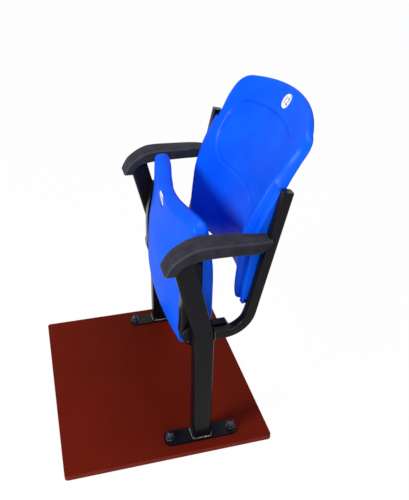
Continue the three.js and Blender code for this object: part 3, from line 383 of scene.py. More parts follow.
def rolled_thread_zinc():
    """The same plated steel with a rolled M12 thread, pitch 1.75 mm: rings of painted shade at the roots and
    painted highlight on the crests, over a bump of the same rings.
    """
    pitch = 1.75
    made, tree, shader, place = surface("rolled_thread_zinc", "#8A8791", 0.34, metallic=1.0)
    height = node(tree, "ShaderNodeSeparateXYZ", Vector=place).outputs["Z"]
    turns = worked_out(tree, "MULTIPLY", height, 2 * math.pi / (pitch * MM))
    share = ranged(tree, worked_out(tree, "SINE", turns), -1.0, 1.0)
    # Painted shade in the thread's roots and painted highlight on its crests, following the sine of the height.
    tree.links.new(mixed(tree, share, "#1E1C22", "#76727C"), shader.inputs["Base Color"])
    tree.links.new(bumped(tree, share, 0.9, 0.8), shader.inputs["Normal"])
    return made


def film_faced_plywood():
    """Birch plywood under a maroon phenolic film pressed with a wire mesh. The eye sees a dull dark red with
    a fine raised diamond of wires 5 mm apart, and smoother sealed edges that are a little lighter."""
    wire_spacing = 5.0
    made, tree, shader, place = surface("film_faced_plywood", "#5A1208", 0.6, ior=1.55, gloss=0.03,
                                        wander=(25, 0.50, 0.62))
    axes = node(tree, "ShaderNodeSeparateXYZ", Vector=place).outputs
    wires = []
    for operation in ("ADD", "SUBTRACT"):
        across = worked_out(tree, operation, axes["X"], axes["Y"])
        turns = worked_out(tree, "MULTIPLY", across, 2 * math.pi / (wire_spacing * MM) / math.sqrt(2))
        wires.append(worked_out(tree, "COSINE", turns))
    share = ranged(tree, worked_out(tree, "MAXIMUM", *wires), 0.35, 1.0)
    normal = node(tree, "ShaderNodeNewGeometry").outputs["Normal"]
    upward = node(tree, "ShaderNodeSeparateXYZ", Vector=normal).outputs["Z"]
    wired = mixed(tree, share, tinted(tree, place, 120, "#4C0D05", "#581108"), "#74200F")
    sealed = tinted(tree, place, 40, "#6E2419", "#7A2B20")
    tree.links.new(mixed(tree, ranged(tree, upward, 0.5, 0.9), sealed, wired), shader.inputs["Base Color"])
    tree.links.new(bumped(tree, share, 0.3, 0.5), shader.inputs["Normal"])
    return made


def moulded_black_nylon():
    """Glass-filled nylon from a polished mould: glossy black with long clear highlights."""
    return surface("moulded_black_nylon", "#0B0C0E", 0.22, ior=1.53, gloss=0.1, wander=(12, 0.18, 0.28),
                   grain=(5, 0.05, 0.2))[0]


def printed_white_acrylic():
    """A white acrylic disc, cut from sheet: clean, cool white with a soft gloss and fine handling scuffs."""
    return surface("printed_white_acrylic", "#E9EAF8", 0.25, ior=1.49, tints=(14, "#E2E4F6", "#F0F1FA"),
                   wander=(4, 0.2, 0.34))[0]


def screen_ink(name, dark, light):
    """Dark flat colour on a disc, with a tone that breaks up a little over 3 mm patches. The figures are
    slightly brown screen ink and the rim is navy."""
    return surface(name, dark, 0.6, gloss=0.1, tints=(3, dark, light))[0]


def moulded_rubber():
    """Black natural rubber, compression moulded: deep, dull black with a powdery bloom."""
    return surface("moulded_rubber", "#141414", 0.85, ior=1.52, tints=(6, "#101010", "#1C1B1B"))[0]


def turned_acetal():
    """Natural acetal, turned from bar: milky white-grey, with roughness that varies as turning leaves it."""
    return surface("turned_acetal", "#BFBFB9", 0.4, ior=1.48, wander=(1.0, 0.34, 0.5))[0]

thread, weld_coat = rolled_thread_zinc(), powder_coated_weld()
number_ink = screen_ink("number_ink", "#2E2924", "#4A433A")
# A dark navy ring laid at the edge of each number disc.
dark_disc_rim = screen_ink("dark_disc_rim", "#0A1238", "#121C4C")
finishes = {
    "deck": film_faced_plywood(), "steel_black": powder_coated_steel(), "zinc": zinc_plated_steel(),
    "plastic_black": moulded_black_nylon(), "arm": integral_skin_polyurethane(),
    "blue": blow_moulded_polyethylene(), "white": printed_white_acrylic(), "rubber": moulded_rubber(),
    "bush": turned_acetal(),
}

smooth_group = bpy.data.node_groups.new("smooth_faces", "GeometryNodeTree")
for in_out in ("INPUT", "OUTPUT"):
    smooth_group.interface.new_socket("Geometry", in_out=in_out, socket_type="NodeSocketGeometry")
steps = [smooth_group.nodes.new(kind)
         for kind in ("NodeGroupInput", "GeometryNodeSetShadeSmooth", "NodeGroupOutput")]
for before, after in zip(steps, steps[1:]):
    smooth_group.links.new(before.outputs[0], after.inputs[0])


def eased_edges(piece, width_mm, segments=3, from_degrees=30):
    """Merges a carried-over node's triangles, rounds its edges by a radius and shades it smooth, with
    modifiers alone: its own mesh stays as it is."""
    merge = piece.modifiers.new("merged", "WELD")
    merge.merge_threshold = MERGE_METRES
    bevel = piece.modifiers.new("eased", "BEVEL")
    bevel.width, bevel.segments, bevel.limit_method = width_mm * MM, segments, "ANGLE"
    bevel.angle_limit = math.radians(from_degrees)
    smooth = piece.modifiers.new("smooth", "NODES")
    smooth.node_group = smooth_group
    weights = piece.modifiers.new("weights", "WEIGHTED_NORMAL")
    weights.keep_sharp = False


slot_of = {row["node"]: row["material_slot"] for row in frame["record"]["subparts"]}
eases = {"deck_board": 1.2, "foot_plate": 1.0, "hinge_plate": 0.8, "back_bracket": 0.6, "anchor_nut": 0.6,
         "anchor_washer": 0.4, "anchor_stud": 0.7, "back_bolt": 0.5, "tube_cap": 0.8, "arm_core": 0.8,
         "back_number_disc": 0.3, "seat_number_disc": 0.3, "pivot_pin": 0.5}
for name, cad_node in frame["nodes"].items():
    finish = thread if name.startswith("anchor_stud") else finishes[slot_of[name]]
    for material_slot in cad_node.material_slots:
        material_slot.material = finish
    for start, width in eases.items():
        if name.startswith(start):
            eased_edges(cad_node, width)


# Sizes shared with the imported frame, in millimetres

floor = 15.0
stand_half_width = 285.0
leg_width, leg_depth, leg_corner, leg_knee, leg_bend = 40.0, 50.0, 6.0, 358.0, 60.0
arm_top_height, arm_nose_drop, arm_core_drop, leg_top_drop = 625.0, 68.0, 25.0, 45.0
leg_lean, leg_top_height = math.radians(14), arm_top_height - leg_top_drop
tube_size, tube_corner, tube_bend, tube_reach = 25.0, 4.0, 68.0, 105.0
tube_lean, tube_top_height = math.radians(12.2), 726.0
foot_plate_thickness = 6.0
plate_top = floor + foot_plate_thickness
leg_x = stand_half_width - leg_width / 2
tube_x = stand_half_width - tube_size / 2
pivot_y, pivot_z = -15.5, floor + 334.0
gap, overrun = 0.3, 10.0


def bent_path(start, corner, end, bend, arc_steps=28):
    """Points of a straight, an arc and a straight in the YZ plane, with the direction at each: the arc's
    centre lies square to the first straight, and its points turn evenly from one direction to the other."""
    start, corner, end = (np.asarray(p, float) for p in (start, corner, end))
    into = (corner - start) / np.linalg.norm(corner - start)
    out = (end - corner) / np.linalg.norm(end - corner)
    turn = math.acos(float(into @ out))
    side = out - into * (into @ out)
    side /= np.linalg.norm(side)
    arc_start = corner - into * bend * math.tan(turn / 2)
    angle = np.linspace(0, turn, arc_steps)[:, None]
    arc = arc_start + side * bend + into * bend * np.sin(angle) - side * bend * np.cos(angle)
    heading = into * np.cos(angle) + side * np.sin(angle)
    places = np.concatenate([[start], arc, [end]])
    headings = np.concatenate([[into], heading, [out]])
    return places, headings


def tube_rows(path, middle_x, width, depth, corner):
    """A round-cornered box section carried along a path in the YZ plane: each loop lies square to the
    path's direction, its width along X and its depth across the bend."""
    places, headings = path
    section = round_box_loop(width, depth, corner)
    across = np.stack([-headings[:, 1], headings[:, 0]], axis=1)
    x = np.broadcast_to(middle_x + section[:, 0], (len(places), len(section)))
    yz = places[:, None, :] + across[:, None, :] * section[None, :, 1:2]
    return np.concatenate([x[..., None], yz], axis=2)


leg_rise = leg_top_height - leg_knee
leg_top = np.array([-leg_rise * math.tan(leg_lean), floor + leg_top_height])
leg_path = bent_path([0, plate_top], [0, floor + leg_knee], leg_top, leg_bend)
tube_rise = tube_top_height - leg_knee
tube_top = np.array([tube_reach + tube_rise * math.tan(tube_lean), floor + tube_top_height])
tube_path = bent_path([leg_depth / 2, floor + leg_knee], [tube_reach, floor + leg_knee], tube_top, tube_bend)

pair("leg_tube_coated", tube_rows(leg_path, leg_x, leg_width, leg_depth, leg_corner), "stand", "steel_black",
     "leg_tube")
pair("back_tube_coated", tube_rows(tube_path, tube_x, tube_size, tube_size, tube_corner), "stand",
     "steel_black", "back_tube")


# Back shell

back_bottom, back_height, back_front_reach, back_sweep = 403.0, 455.0, 91.0, 165.0
back_half, flank_width, back_thickness, back_hollow = 218.0, 34.0, 35.0, 53.0
back_corner, back_foot_corner, shoulder_height, shoulder_blend = 50.0, 30.0, 723.0, 5.0
back_crown_rise, back_crown_fall, back_foot_sag, back_upper_spread = 9.0, 22.0, 21.0, 12.0
back_crown_start, back_crown_full, back_arch_end = 0.72, 0.88, 0.16
panel_bottom, panel_height, panel_half, panel_recess = 626.0, 170.0, 190.0, 3.0
panel_corner, panel_foot_corner = 48.0, 84.0
panel_ease, groove_inset, groove_width, groove_depth = 3.0, 3.4, 2.0, 1.3
ridge_outset, ridge_width, ridge_height = 2.2, 2.4, 1.2
disc_radius, disc_thickness, disc_recess, disc_clearance, disc_cut_rise = 21.0, 2.4, 3.4, 0.6, 12.0
back_disc_height, back_disc_tilt = 836.0, math.radians(-8)
back_end_share, panel_fade, front_share, slope_step_share = 0.04, 3.0, 0.25, 0.01
back_rows_shares = [
    [0.000, 0.046, 1.08, 0.66], [0.035, 0.020, 1.08, 0.84], [0.069, 0.006, 1.07, 0.95],
    [0.109, 0.000, 1.06, 1.05], [0.188, 0.012, 1.04, 1.18], [0.286, 0.038, 1.02, 1.30],
    [0.395, 0.076, 1.01, 1.34], [0.454, 0.124, 1.00, 1.26], [0.513, 0.188, 1.00, 1.12],
    [0.572, 0.264, 1.00, 1.02], [0.641, 0.364, 0.97, 0.92], [0.711, 0.471, 0.93, 0.80],
    [0.786, 0.594, 0.89, 0.66], [0.864, 0.728, 0.83, 0.57], [0.945, 0.888, 0.76, 0.55],
    [1.000, 1.006, 0.73, 0.57], [1.050, 1.108, 0.71, 0.58],
]
lower_flank = [[0, 0], [0.36, 0.50], [0.56, 0.52], [0.62, 0.27], [1.10, 0.32], [1.14, 1]]
upper_flank = [[0, 0], [0.20, 0.14], [0.38, 0.32], [0.54, 0.52], [0.70, 0.76], [0.78, 1]]


def back_row(shares):
    """The back's edge line at shares of its height: Y, Z, lean, hollow and thickness, each an array."""
    sweep, hollow, thick = through(back_rows_shares, shares)
    ahead, behind = shares + slope_step_share, shares - slope_step_share
    run = (through(back_rows_shares, ahead)[0] - through(back_rows_shares, behind)[0]) * back_sweep
    lean = np.arctan2(run, (ahead - behind) * back_height)
    return (back_front_reach + sweep * back_sweep, floor + back_bottom + shares * back_height, lean,
            hollow * back_hollow, thick * back_thickness)


def back_dip(hollow, x):
    """How far the front face lies behind the edge line: the hollow, less with the square of the distance
    from the middle, and nothing at the flanks."""
    share = np.minimum(np.abs(x) / back_half, 1)
    return hollow * (1 - share * share)


def arched(shares, x):
    """The height shares of places across a loop: the top edge falls off from its middle with the square of
    the distance across, the foot sags in its middle, and both effects ease out away from the ends."""
    across = np.minimum((x / back_half) ** 2, 1)
    top = smoothstep((shares - back_crown_start) / (back_crown_full - back_crown_start))
    foot = 1 - smoothstep(shares / back_arch_end)
    return shares + (top * (back_crown_rise - back_crown_fall * across)
                     - foot * back_foot_sag * (1 - across ** 2)) / back_height


def panel_depth(x, height):
    """The recessed panel: a step down inside a round-cornered outline, eased over 3 mm, with a narrow groove
    at its foot and a low ridge just outside, each a bell curve. The two lower corners are rounder than the
    upper ones."""
    along = height - panel_bottom - panel_height / 2
    corner = np.where(along < 0, panel_foot_corner, panel_corner)
    out_x, out_z = np.abs(x) - panel_half + corner, np.abs(along) - panel_height / 2 + corner
    outside = np.hypot(np.maximum(out_x, 0), np.maximum(out_z, 0)) + np.minimum(np.maximum(out_x, out_z), 0)
    away = outside - corner
    groove = np.exp(-((away + groove_inset) / groove_width) ** 2)
    ridge = np.exp(-((away - ridge_outset) / ridge_width) ** 2)
    return panel_recess * smoothstep(-away / panel_ease) + groove_depth * groove - ridge_height * ridge


def back_skin_rows():
    """Loops up the back shell. Each runs across the front, round a flank, across the rear and round the
    other flank; its depth is counted square to the edge line, and its hollow is a level set-back. Towards
    both ends the depths close on the middle of the thickness as a half circle does."""
    shares = closing_shares(back_end_share, 14, 236)[:, None]
    height = shares * back_height
    to_top = (1 - shares) * back_height / np.cos(back_row(shares)[2])
    spread = back_upper_spread * smoothstep((shares - back_crown_start) / (back_crown_full - back_crown_start))
    inset = np.maximum(drawn_in_by(to_top, back_corner), drawn_in_by(height, back_foot_corner))
    half = back_half + spread - inset
    shoulder = np.clip((height + back_bottom - shoulder_height) / shoulder_blend, 0, 1)
    low, high = evened_pair(lower_flank, upper_flank, 40)
    flank_x = half + (flank_width - spread) * (low[:, 0] + (high[:, 0] - low[:, 0]) * shoulder)[:, 1:]
    flank_d = (low[:, 1] + (high[:, 1] - low[:, 1]) * shoulder)[:, 1:]
    across = np.linspace(-1, 1, 181)[None, :]
    front_x, rear_x = half * across, -half * across[:, ::2]
    x = np.concatenate([front_x, flank_x, rear_x, -flank_x[:, ::-1]], axis=1)
    deep = np.concatenate([0 * front_x, flank_d, 0 * rear_x + 1, flank_d[:, ::-1]], axis=1)
    x, deep = softened(x, 3), softened(deep, 3)
    y, z, lean, hollow, thick = back_row(arched(shares, x))
    round_off = quarter_circle(np.minimum(height, to_top) / (thick / 2))
    depth = thick * (0.5 + (deep - 0.5) * round_off)
    face = np.exp(-np.clip(depth, 0, None) / panel_fade)
    depth = depth + panel_depth(x, back_bottom + height) * face * (deep < front_share)
    dip = back_dip(hollow, x)
    return np.stack([x, y + dip + depth * np.cos(lean), z - depth * np.sin(lean)], axis=2)


def evened_pair(first, second, count):
    """Two tables of the same corners, each spread over the same number of points: every side of the first
    gets points by its length, and the second follows it side by side."""
    first, second = np.asarray(first, float), np.asarray(second, float)
    steps = np.hypot(*np.diff(first, axis=0).T)
    along = np.concatenate([[0], np.cumsum(steps)])
    places = np.unique(np.concatenate([along, np.linspace(0, along[-1], count)]))
    return [np.stack([np.interp(places, along, t[:, i]) for i in range(2)], axis=1) for t in (first, second)]


def on_leaning_face(lean, place, radius, from_depth, to_depth, steps=96):
    """The two loops of a round bar that stands square in a leaning face: circles in the plane of X and of
    the face's upward line, at two depths along its inward line."""
    angle = np.linspace(0, 2 * math.pi, steps, endpoint=False)
    up = np.array([0, math.sin(lean), math.cos(lean)])
    inward = np.array([0, math.cos(lean), -math.sin(lean)])
    circle = radius * (np.cos(angle)[:, None] * np.array([1.0, 0, 0]) + np.sin(angle)[:, None] * up)
    return np.stack([np.asarray(place) + circle + inward * depth for depth in (from_depth, to_depth)])


def disc_pocket(lean, place):
    """The cutter of a disc's pocket in a leaning face."""
    return on_leaning_face(lean, place, disc_radius + disc_clearance, -disc_cut_rise, disc_recess)


share = np.array([(back_disc_height - back_bottom) / back_height])
disc_y, disc_z, disc_lean, disc_hollow, _ = (float(v[0]) for v in back_row(share))
disc_lean += back_disc_tilt
back_disc_place = (0, disc_y + disc_hollow, disc_z)
back_skin = skin("back_shell_moulded", back_skin_rows(), sharp_degrees=60)
cut_by(back_skin, [disc_pocket(disc_lean, back_disc_place)])
dress(back_skin, "stand", "blue", ["back_shell"])


# Lugs that carry the back's foot on the tubes, outlined in Y and Z

lug_inner_x, lug_outer_x = 254.0, 259.7
lug_outline = [(104, 448), (110.5, 435), (102.5, 409), (108, 401), (121, 427), (123, 448)]

pair("back_foot_lug", prism_rows(lug_outline, lug_inner_x, lug_outer_x), "stand", "steel_black")


# Seat shell

seat_half, seat_length, seat_below, seat_rear_reach = 227.0, 360.0, 56.0, 45.0
seat_side, seat_middle, seat_dish = 72.0, 95.0, 50.0
seat_corner, seat_foot_corner, seat_rim, seat_edge, seat_lip_dip = 41.0, 24.0, 22.0, 12.0, 16.0
seat_rows_shares = [
    [0.00, 0.99, 0.92, 0.45, 1.00], [0.07, 0.98, 0.96, 0.60, 1.05], [0.14, 0.97, 0.99, 0.80, 1.10],
    [0.28, 0.93, 1.00, 0.96, 1.15], [0.42, 0.86, 1.00, 1.00, 1.16], [0.49, 0.81, 0.99, 1.00, 1.16],
    [0.56, 0.75, 0.96, 0.97, 1.16], [0.64, 0.68, 0.89, 0.92, 1.14], [0.72, 0.635, 0.82, 0.84, 1.08],
    [0.82, 0.61, 0.78, 0.70, 0.97], [0.91, 0.60, 0.77, 0.58, 0.88], [1.00, 0.60, 0.77, 0.52, 0.82],
]
seat_disc_drop, seat_disc_tilt = 23.0, math.radians(-6)
seat_end_share, seat_end_round = 0.055, 15.0
seam_rise, seam_place_share, seam_width_share = 0.7, 0.12, 0.04
rim_y = pivot_y + seat_rear_reach
seat_end_z = pivot_z - seat_below
housing_inner_x, housing_outer_x = 201.4, 234.4
housing_rear_reach, housing_rise = 22.0, 209.0
recess_front_y, recess_low_z, recess_outer_x = -150.0, 200.0, 260.0


def seat_front(shares, x, half):
    """The outer face, as Y: the side depth below the rim, and a crown that falls off with the square of the
    distance from the middle."""
    side, middle, _, _ = through(seat_rows_shares, shares)
    crown = middle * seat_middle - side * seat_side
    return rim_y - side * seat_side - crown * (1 - (x / half) ** 2)


def seat_rear(shares, x, half):
    """The sitting face, as Y: the dish below a rim that bows out along the seat, a square of one less the
    square across."""
    _, _, dish, rim = through(seat_rows_shares, shares)
    across = np.minimum(np.abs(x) / (half - seat_rim), 1)
    return pivot_y + rim * seat_rear_reach - dish * seat_dish * (1 - across ** 2) ** 2


def seat_skin_rows():
    """Loops along the seat shell from its hinge end to its lip. Each crosses the sitting face, turns two
    round edges of the side wall, where a low seam stands out as a bell curve, and comes back across the
    outer face; towards both ends the loops close on their middle line as a half circle does."""
    shares = closing_shares(seat_end_share, 18, 160)[:, None]
    along = shares * seat_length
    half = seat_half - np.maximum(drawn_in_by(seat_length - along, seat_corner),
                                  drawn_in_by(along, seat_foot_corner))
    flat = half - seat_edge
    across = np.linspace(-1, 1, 101)[None, :]
    back_x = flat * across
    back_y = seat_rear(shares, back_x, half)
    front_x = -back_x
    front_y = seat_front(shares, front_x, half)
    turn = quarter_turn(10)[None, 1:]
    edge_low, edge_high = seat_front(shares, flat, half), seat_rear(shares, flat, half)
    x1, y1 = flat + seat_edge * np.sin(turn), edge_high - seat_edge * (1 - np.cos(turn))
    x2, y2 = flat + seat_edge * np.cos(turn), edge_low + seat_edge * (1 - np.sin(turn))
    wall = np.linspace(0, 1, 12)[None, 1:]
    wall_y = y1[:, -1:] + (edge_low + seat_edge - y1[:, -1:]) * wall
    seam = seam_rise * np.exp(-((wall - seam_place_share) / seam_width_share) ** 2)
    side_x = np.concatenate([x1, half + 0 * wall + seam, x2], axis=1)
    side_y = np.concatenate([y1, wall_y, y2], axis=1)
    x = np.concatenate([back_x, side_x, front_x, -side_x[:, ::-1]], axis=1)
    y = np.concatenate([back_y, side_y, front_y, side_y[:, ::-1]], axis=1)
    middle = (seat_rear(shares, x, half) + seat_front(shares, x, half)) / 2
    squeeze = quarter_circle(np.minimum(along, seat_length - along) / seat_end_round)
    dip = seat_lip_dip * (1 - (x / half) ** 2) * shares ** 3
    return np.stack([x, middle + (y - middle) * squeeze, seat_end_z + along - dip], axis=2)


seat_skin = skin("seat_shell_moulded", seat_skin_rows(), sharp_degrees=60)
share = np.array([1 - seat_disc_drop / seat_length])
step = seat_disc_drop / seat_length
disc_run = float(seat_front(np.minimum(share + step, 1), 0, seat_half)[0]
                 - seat_front(share - step, 0, seat_half)[0])
seat_disc_lean = math.atan2(disc_run, 2 * seat_disc_drop) + seat_disc_tilt
seat_disc_place = (0, float(seat_front(share, 0, seat_half)[0]),
                   seat_end_z + seat_length - seat_lip_dip - seat_disc_drop)
recess_top = pivot_z + housing_rise + gap
recess_rear = pivot_y + housing_rear_reach + gap
recess_outline = [(recess_front_y, recess_low_z), (recess_rear, recess_low_z), (recess_rear, recess_top),
                  (recess_front_y, recess_top)]
cut_by(seat_skin, [prism_rows(recess_outline, housing_inner_x - gap, recess_outer_x),
                   prism_rows(recess_outline, -recess_outer_x, -housing_inner_x + gap),
                   disc_pocket(seat_disc_lean, seat_disc_place)])
dress(seat_skin, "seat", "blue", ["seat_shell"])


# Numbers on the discs

figure_font_size, print_rise, print_thickness, rim_inset, rim_width = 27.0, 0.15, 0.1, 0.2, 1.3
disc_face_depth = disc_recess - gap - disc_thickness


def number_on(name, place, lean, body):
    """A plain two-figure seat number, 20 mm high, laid just above a disc's face."""
    words = bpy.data.curves.new(name, "FONT")
    words.body, words.size, words.align_x, words.align_y = "12", figure_font_size * MM, "CENTER", "CENTER"
    words.extrude = print_thickness * MM
    holder = placed(name + "_outline", words)
    mesh = baked(holder)
    bpy.data.objects.remove(holder)
    inward = Vector((0, math.cos(lean), -math.sin(lean)))
    up = Vector((0, math.sin(lean), math.cos(lean)))
    centre = (Vector(place) + inward * (disc_face_depth - print_rise)) * MM
    turn = Matrix((Vector((1, 0, 0)), up, -inward)).transposed().to_4x4()
    mesh.transform(Matrix.Translation(centre) @ turn)
    dress(placed(name, mesh), body, "white", material=number_ink)


def rim_on(name, place, lean, body):
    """A dark navy flat ring at the edge of a disc, laid just above the disc's face."""
    from_depth = disc_face_depth - print_rise
    outer, inner = (on_leaning_face(lean, place, radius, from_depth, from_depth + print_thickness)
                    for radius in (disc_radius - rim_inset, disc_radius - rim_inset - rim_width))
    ring = skin(name, np.stack([outer[0], outer[1], inner[1], inner[0]]), closed_rows=True)
    dress(ring, body, "white", material=dark_disc_rim)


for disc, place, lean, body in (("back", back_disc_place, disc_lean, "stand"),
                                ("seat", seat_disc_place, seat_disc_lean, "seat")):
    rim_on(f"{disc}_number_rim", place, lean, body)
    number_on(f"{disc}_number_figures", place, lean, body)


# Armrests

arm_outer_x, arm_width, arm_length, arm_nose_reach = 303.0, 61.0, 256.0, 102.0
arm_nose_height, arm_edge, arm_end_round = arm_top_height - arm_nose_drop, 5.0, 3.0
arm_end_share, arm_edge_limit_share = 0.03, 0.45
arm_stations = [
    [0.000, 0.000, 0.110, 0.000, 0.00, 0.05], [0.035, 0.260, 0.130, 0.130, 0.00, 0.04],
    [0.078, 0.500, 0.157, 0.270, 0.00, 0.03], [0.145, 0.700, 0.200, 0.385, 0.00, 0.02],
    [0.219, 0.860, 0.254, 0.460, 0.00, 0.01], [0.305, 0.970, 0.328, 0.505, 0.00, 0.00],
    [0.422, 1.000, 0.422, 0.530, 0.00, 0.00], [0.566, 0.985, 0.566, 0.530, 0.02, 0.00],
    [0.742, 0.960, 0.742, 0.505, 0.10, 0.00], [0.824, 0.945, 0.824, 0.470, 0.17, 0.01],
    [0.891, 0.930, 0.891, 0.490, 0.19, 0.04], [0.965, 0.900, 0.955, 0.640, 0.22, 0.10],
    [1.000, 0.850, 0.990, 0.740, 0.24, 0.15],
]


def arm_skin_rows():
    """Loops along the armrest: its top and bottom lines and the widths that its sides lose run smoothly
    through the stations, and each loop is a round-edged box set between the two lines."""
    stations = np.asarray(arm_stations)
    arm_height = arm_top_height - arm_nose_height
    steps = np.hypot(*np.diff(stations[:, :2] * [arm_length, arm_height], axis=0).T)
    reach = np.concatenate([[0], np.cumsum(steps)])
    table = np.column_stack([reach / reach[-1], stations])
    shares = closing_shares(arm_end_share, 8, 110)
    top_y, top_z, low_y, low_z, inner, outer = through(table, shares)
    top = np.stack([top_y * arm_length - arm_nose_reach, top_z * arm_height + arm_nose_height + floor], axis=1)
    low = np.stack([low_y * arm_length - arm_nose_reach, low_z * arm_height + arm_nose_height + floor], axis=1)
    deep = np.linalg.norm(top - low, axis=1)
    width = arm_width * (1 - inner - outer)
    middle = arm_outer_x - arm_width * outer - width / 2
    radius = np.minimum(arm_edge, deep * arm_edge_limit_share)
    inset = arm_end_round * (1 - quarter_circle(np.minimum(shares, 1 - shares) * reach[-1] / arm_end_round))
    signs, arcs = round_box_parts(7)
    x = signs[:, 0] * (width / 2 - radius - inset)[:, None] + radius[:, None] * arcs[:, 0]
    up = signs[:, 1] * (deep / 2 - radius - inset)[:, None] + radius[:, None] * arcs[:, 1]
    yz = low[:, None, :] + (top - low)[:, None, :] * (up / deep[:, None] + 0.5)[..., None]
    return np.concatenate([(middle[:, None] + x)[..., None], yz], axis=2)


def leg_point(along, across):
    """A place by the leg's top, counted along the leg and across it, as Y and Z."""
    lean = np.array([-math.sin(leg_lean), math.cos(leg_lean)])
    return leg_top + along * lean + across * np.array([lean[1], -lean[0]])


def tube_front(z):
    """The Y of the back tube's front face at a height."""
    return tube_reach + (z - floor - leg_knee) * math.tan(tube_lean) - tube_size / 2 / math.cos(tube_lean)


core_height, core_thickness = arm_top_height - arm_core_drop, 6.0
notch_height, notch_half_length, notch_rear = 591.0, 70.0, 60.0
notch_front = -tube_size / 2 - gap
low_z, high_z = floor + core_height - gap, floor + core_height + core_thickness + gap
rear_y, rear_z = leg_point(gap, leg_depth / 2)
bend_y = rear_y + floor + core_height - rear_z
core_outline = np.array([
    leg_point(0, leg_corner - leg_depth / 2 - gap), leg_point(0, leg_depth / 2 + gap), (bend_y + gap, low_z),
    (tube_front(low_z) + overrun, low_z), (tube_front(high_z) + overrun, high_z),
    (bend_y - core_thickness / 2, high_z),
    leg_point(core_thickness + 2 * gap, leg_depth / 2 - core_thickness / 2),
    leg_point(core_thickness + 2 * gap, leg_corner - leg_depth / 2 - gap),
])
notch_middle = np.array([tube_reach + (notch_height - leg_knee) * math.tan(tube_lean), floor + notch_height])
notch_axis = np.array([math.sin(tube_lean), math.cos(tube_lean)])
notch_across = np.array([math.cos(tube_lean), -math.sin(tube_lean)])
notch_outline = np.array([notch_middle + notch_axis * up + notch_across * across for up, across in (
    (-notch_half_length, notch_front), (-notch_half_length, notch_rear),
    (notch_half_length, notch_rear), (notch_half_length, notch_front))])
leg_slot_path = bent_path([0, plate_top], [0, floor + leg_knee], leg_point(2 * gap, 0), leg_bend)

pair("armrest_moulded", arm_skin_rows(), "stand", "arm", "armrest", (
    prism_rows(notch_outline, stand_half_width + 2 * gap - arm_width, stand_half_width + 2 * gap),
    tube_rows(leg_slot_path, leg_x, leg_width + 2 * gap, leg_depth + 2 * gap, leg_corner),
    prism_rows(core_outline, tube_x - tube_size / 2 - gap, stand_half_width + gap)), sharp_degrees=50)


# Hinge housings

housing_round, housing_wall, housing_edge, housing_top_round = 33.0, 4.0, 7.0, 16.0
housing_front = [[0.00, 1.0], [0.12, 0.94], [0.42, 0.90], [0.60, 0.80], [0.72, 0.68], [0.86, 0.46], [1, 0.20]]
bush_radius, stop_radius, stop_sleeve_radius = 10.3, 22.0, 5.0
stop_bearing, seat_drop = math.radians(222), math.radians(84)


def housing_outline():
    """The housing's side outline: a round foot about the pivot, a straight rear, a round top corner and a
    front line that draws back towards the top through a table of shares."""
    foot = np.linspace(-math.pi, -math.acos(housing_rear_reach / housing_round), 40)
    corner = quarter_turn(12)
    rise = np.linspace(1, 0.02, 50)
    reach, = through(housing_front, rise)
    parts = [
        np.column_stack([housing_round * np.cos(foot), housing_round * np.sin(foot)]),
        np.column_stack([housing_rear_reach - housing_top_round * (1 - np.cos(corner)),
                         housing_rise - housing_top_round * (1 - np.sin(corner))]),
        np.column_stack([-reach * housing_round, rise * housing_rise]),
    ]
    return np.concatenate(parts) + np.array([pivot_y, pivot_z])


def drawn_in(points, distance):
    """A closed outline moved inward, each point square to the line through its two neighbours."""
    along = unit_rows(np.roll(points, -1, axis=0) - np.roll(points, 1, axis=0))
    return points + distance * np.column_stack([-along[:, 1], along[:, 0]])


def housing_rows():
    """Loops of the housing from its open inner side to its outer side, where they draw in and across as a
    quarter circle does."""
    outline = housing_outline()
    loops = [(housing_inner_x, 0.0)]
    loops += [(housing_outer_x - housing_edge * (1 - math.sin(a)), housing_edge * (1 - math.cos(a)))
              for a in quarter_turn(10)]
    return np.stack([np.column_stack([np.full(len(outline), x), drawn_in(outline, inward)])
                     for x, inward in loops])


def arc_slot(steps=20):
    """The curved slot that the stop's sleeve runs in: two arcs about the pivot with round ends."""
    half = stop_sleeve_radius + gap
    start = stop_bearing - seat_drop
    centre = np.array([pivot_y, pivot_z])

    def arc(middle, radius, from_angle, to_angle):
        angle = np.linspace(from_angle, to_angle, steps, endpoint=False)
        return middle + radius * np.column_stack([np.cos(angle), np.sin(angle)])

    ends = [centre + stop_radius * np.array([math.cos(a), math.sin(a)]) for a in (stop_bearing, start)]
    return np.concatenate([
        arc(centre, stop_radius + half, start, stop_bearing),
        arc(ends[0], half, stop_bearing, stop_bearing + math.pi),
        arc(centre, stop_radius - half, stop_bearing, start),
        arc(ends[1], half, start + math.pi, start + 2 * math.pi),
    ])


pair("hinge_housing_moulded", housing_rows(), "seat", "plastic_black", "hinge_housing", (
    prism_rows(drawn_in(housing_outline(), housing_wall), housing_inner_x - overrun,
               housing_outer_x - housing_wall),
    bar_rows(bush_radius + gap, housing_inner_x - overrun, housing_outer_x + overrun, pivot_y, pivot_z),
    prism_rows(arc_slot(), housing_outer_x - 2 * housing_wall, housing_outer_x + overrun)), sharp_degrees=35)


# Weld beads

weld_ripple, weld_swell_share, weld_lap = 3.2, 0.12, 0.5
foot_weld_radius, foot_weld_rise, knee_weld_radius, knee_weld_rise = 4.0, 1.6, 1.9, 0.6


def weld_rows(path, radius, normal):
    """A weld bead: a round section carried along a closed flat path of (x, y, z) points, its radius swelling
    and shrinking by a share with every ripple of the weld pool, as a cosine does. The normal is that of the
    path's plane."""
    along = np.cumsum(np.linalg.norm(np.roll(path, -1, axis=0) - path, axis=1))
    swell = radius * (1 + weld_swell_share * np.cos(2 * math.pi * along / weld_ripple))
    heading = unit_rows(np.roll(path, -1, axis=0) - np.roll(path, 1, axis=0))
    up = np.asarray(normal, float)
    across = unit_rows(np.cross(heading, up))
    angle = np.linspace(0, 2 * math.pi, 12, endpoint=False)
    return (path[:, None, :] + swell[:, None, None] * (
        np.cos(angle)[None, :, None] * across[:, None, :] + np.sin(angle)[None, :, None] * up))


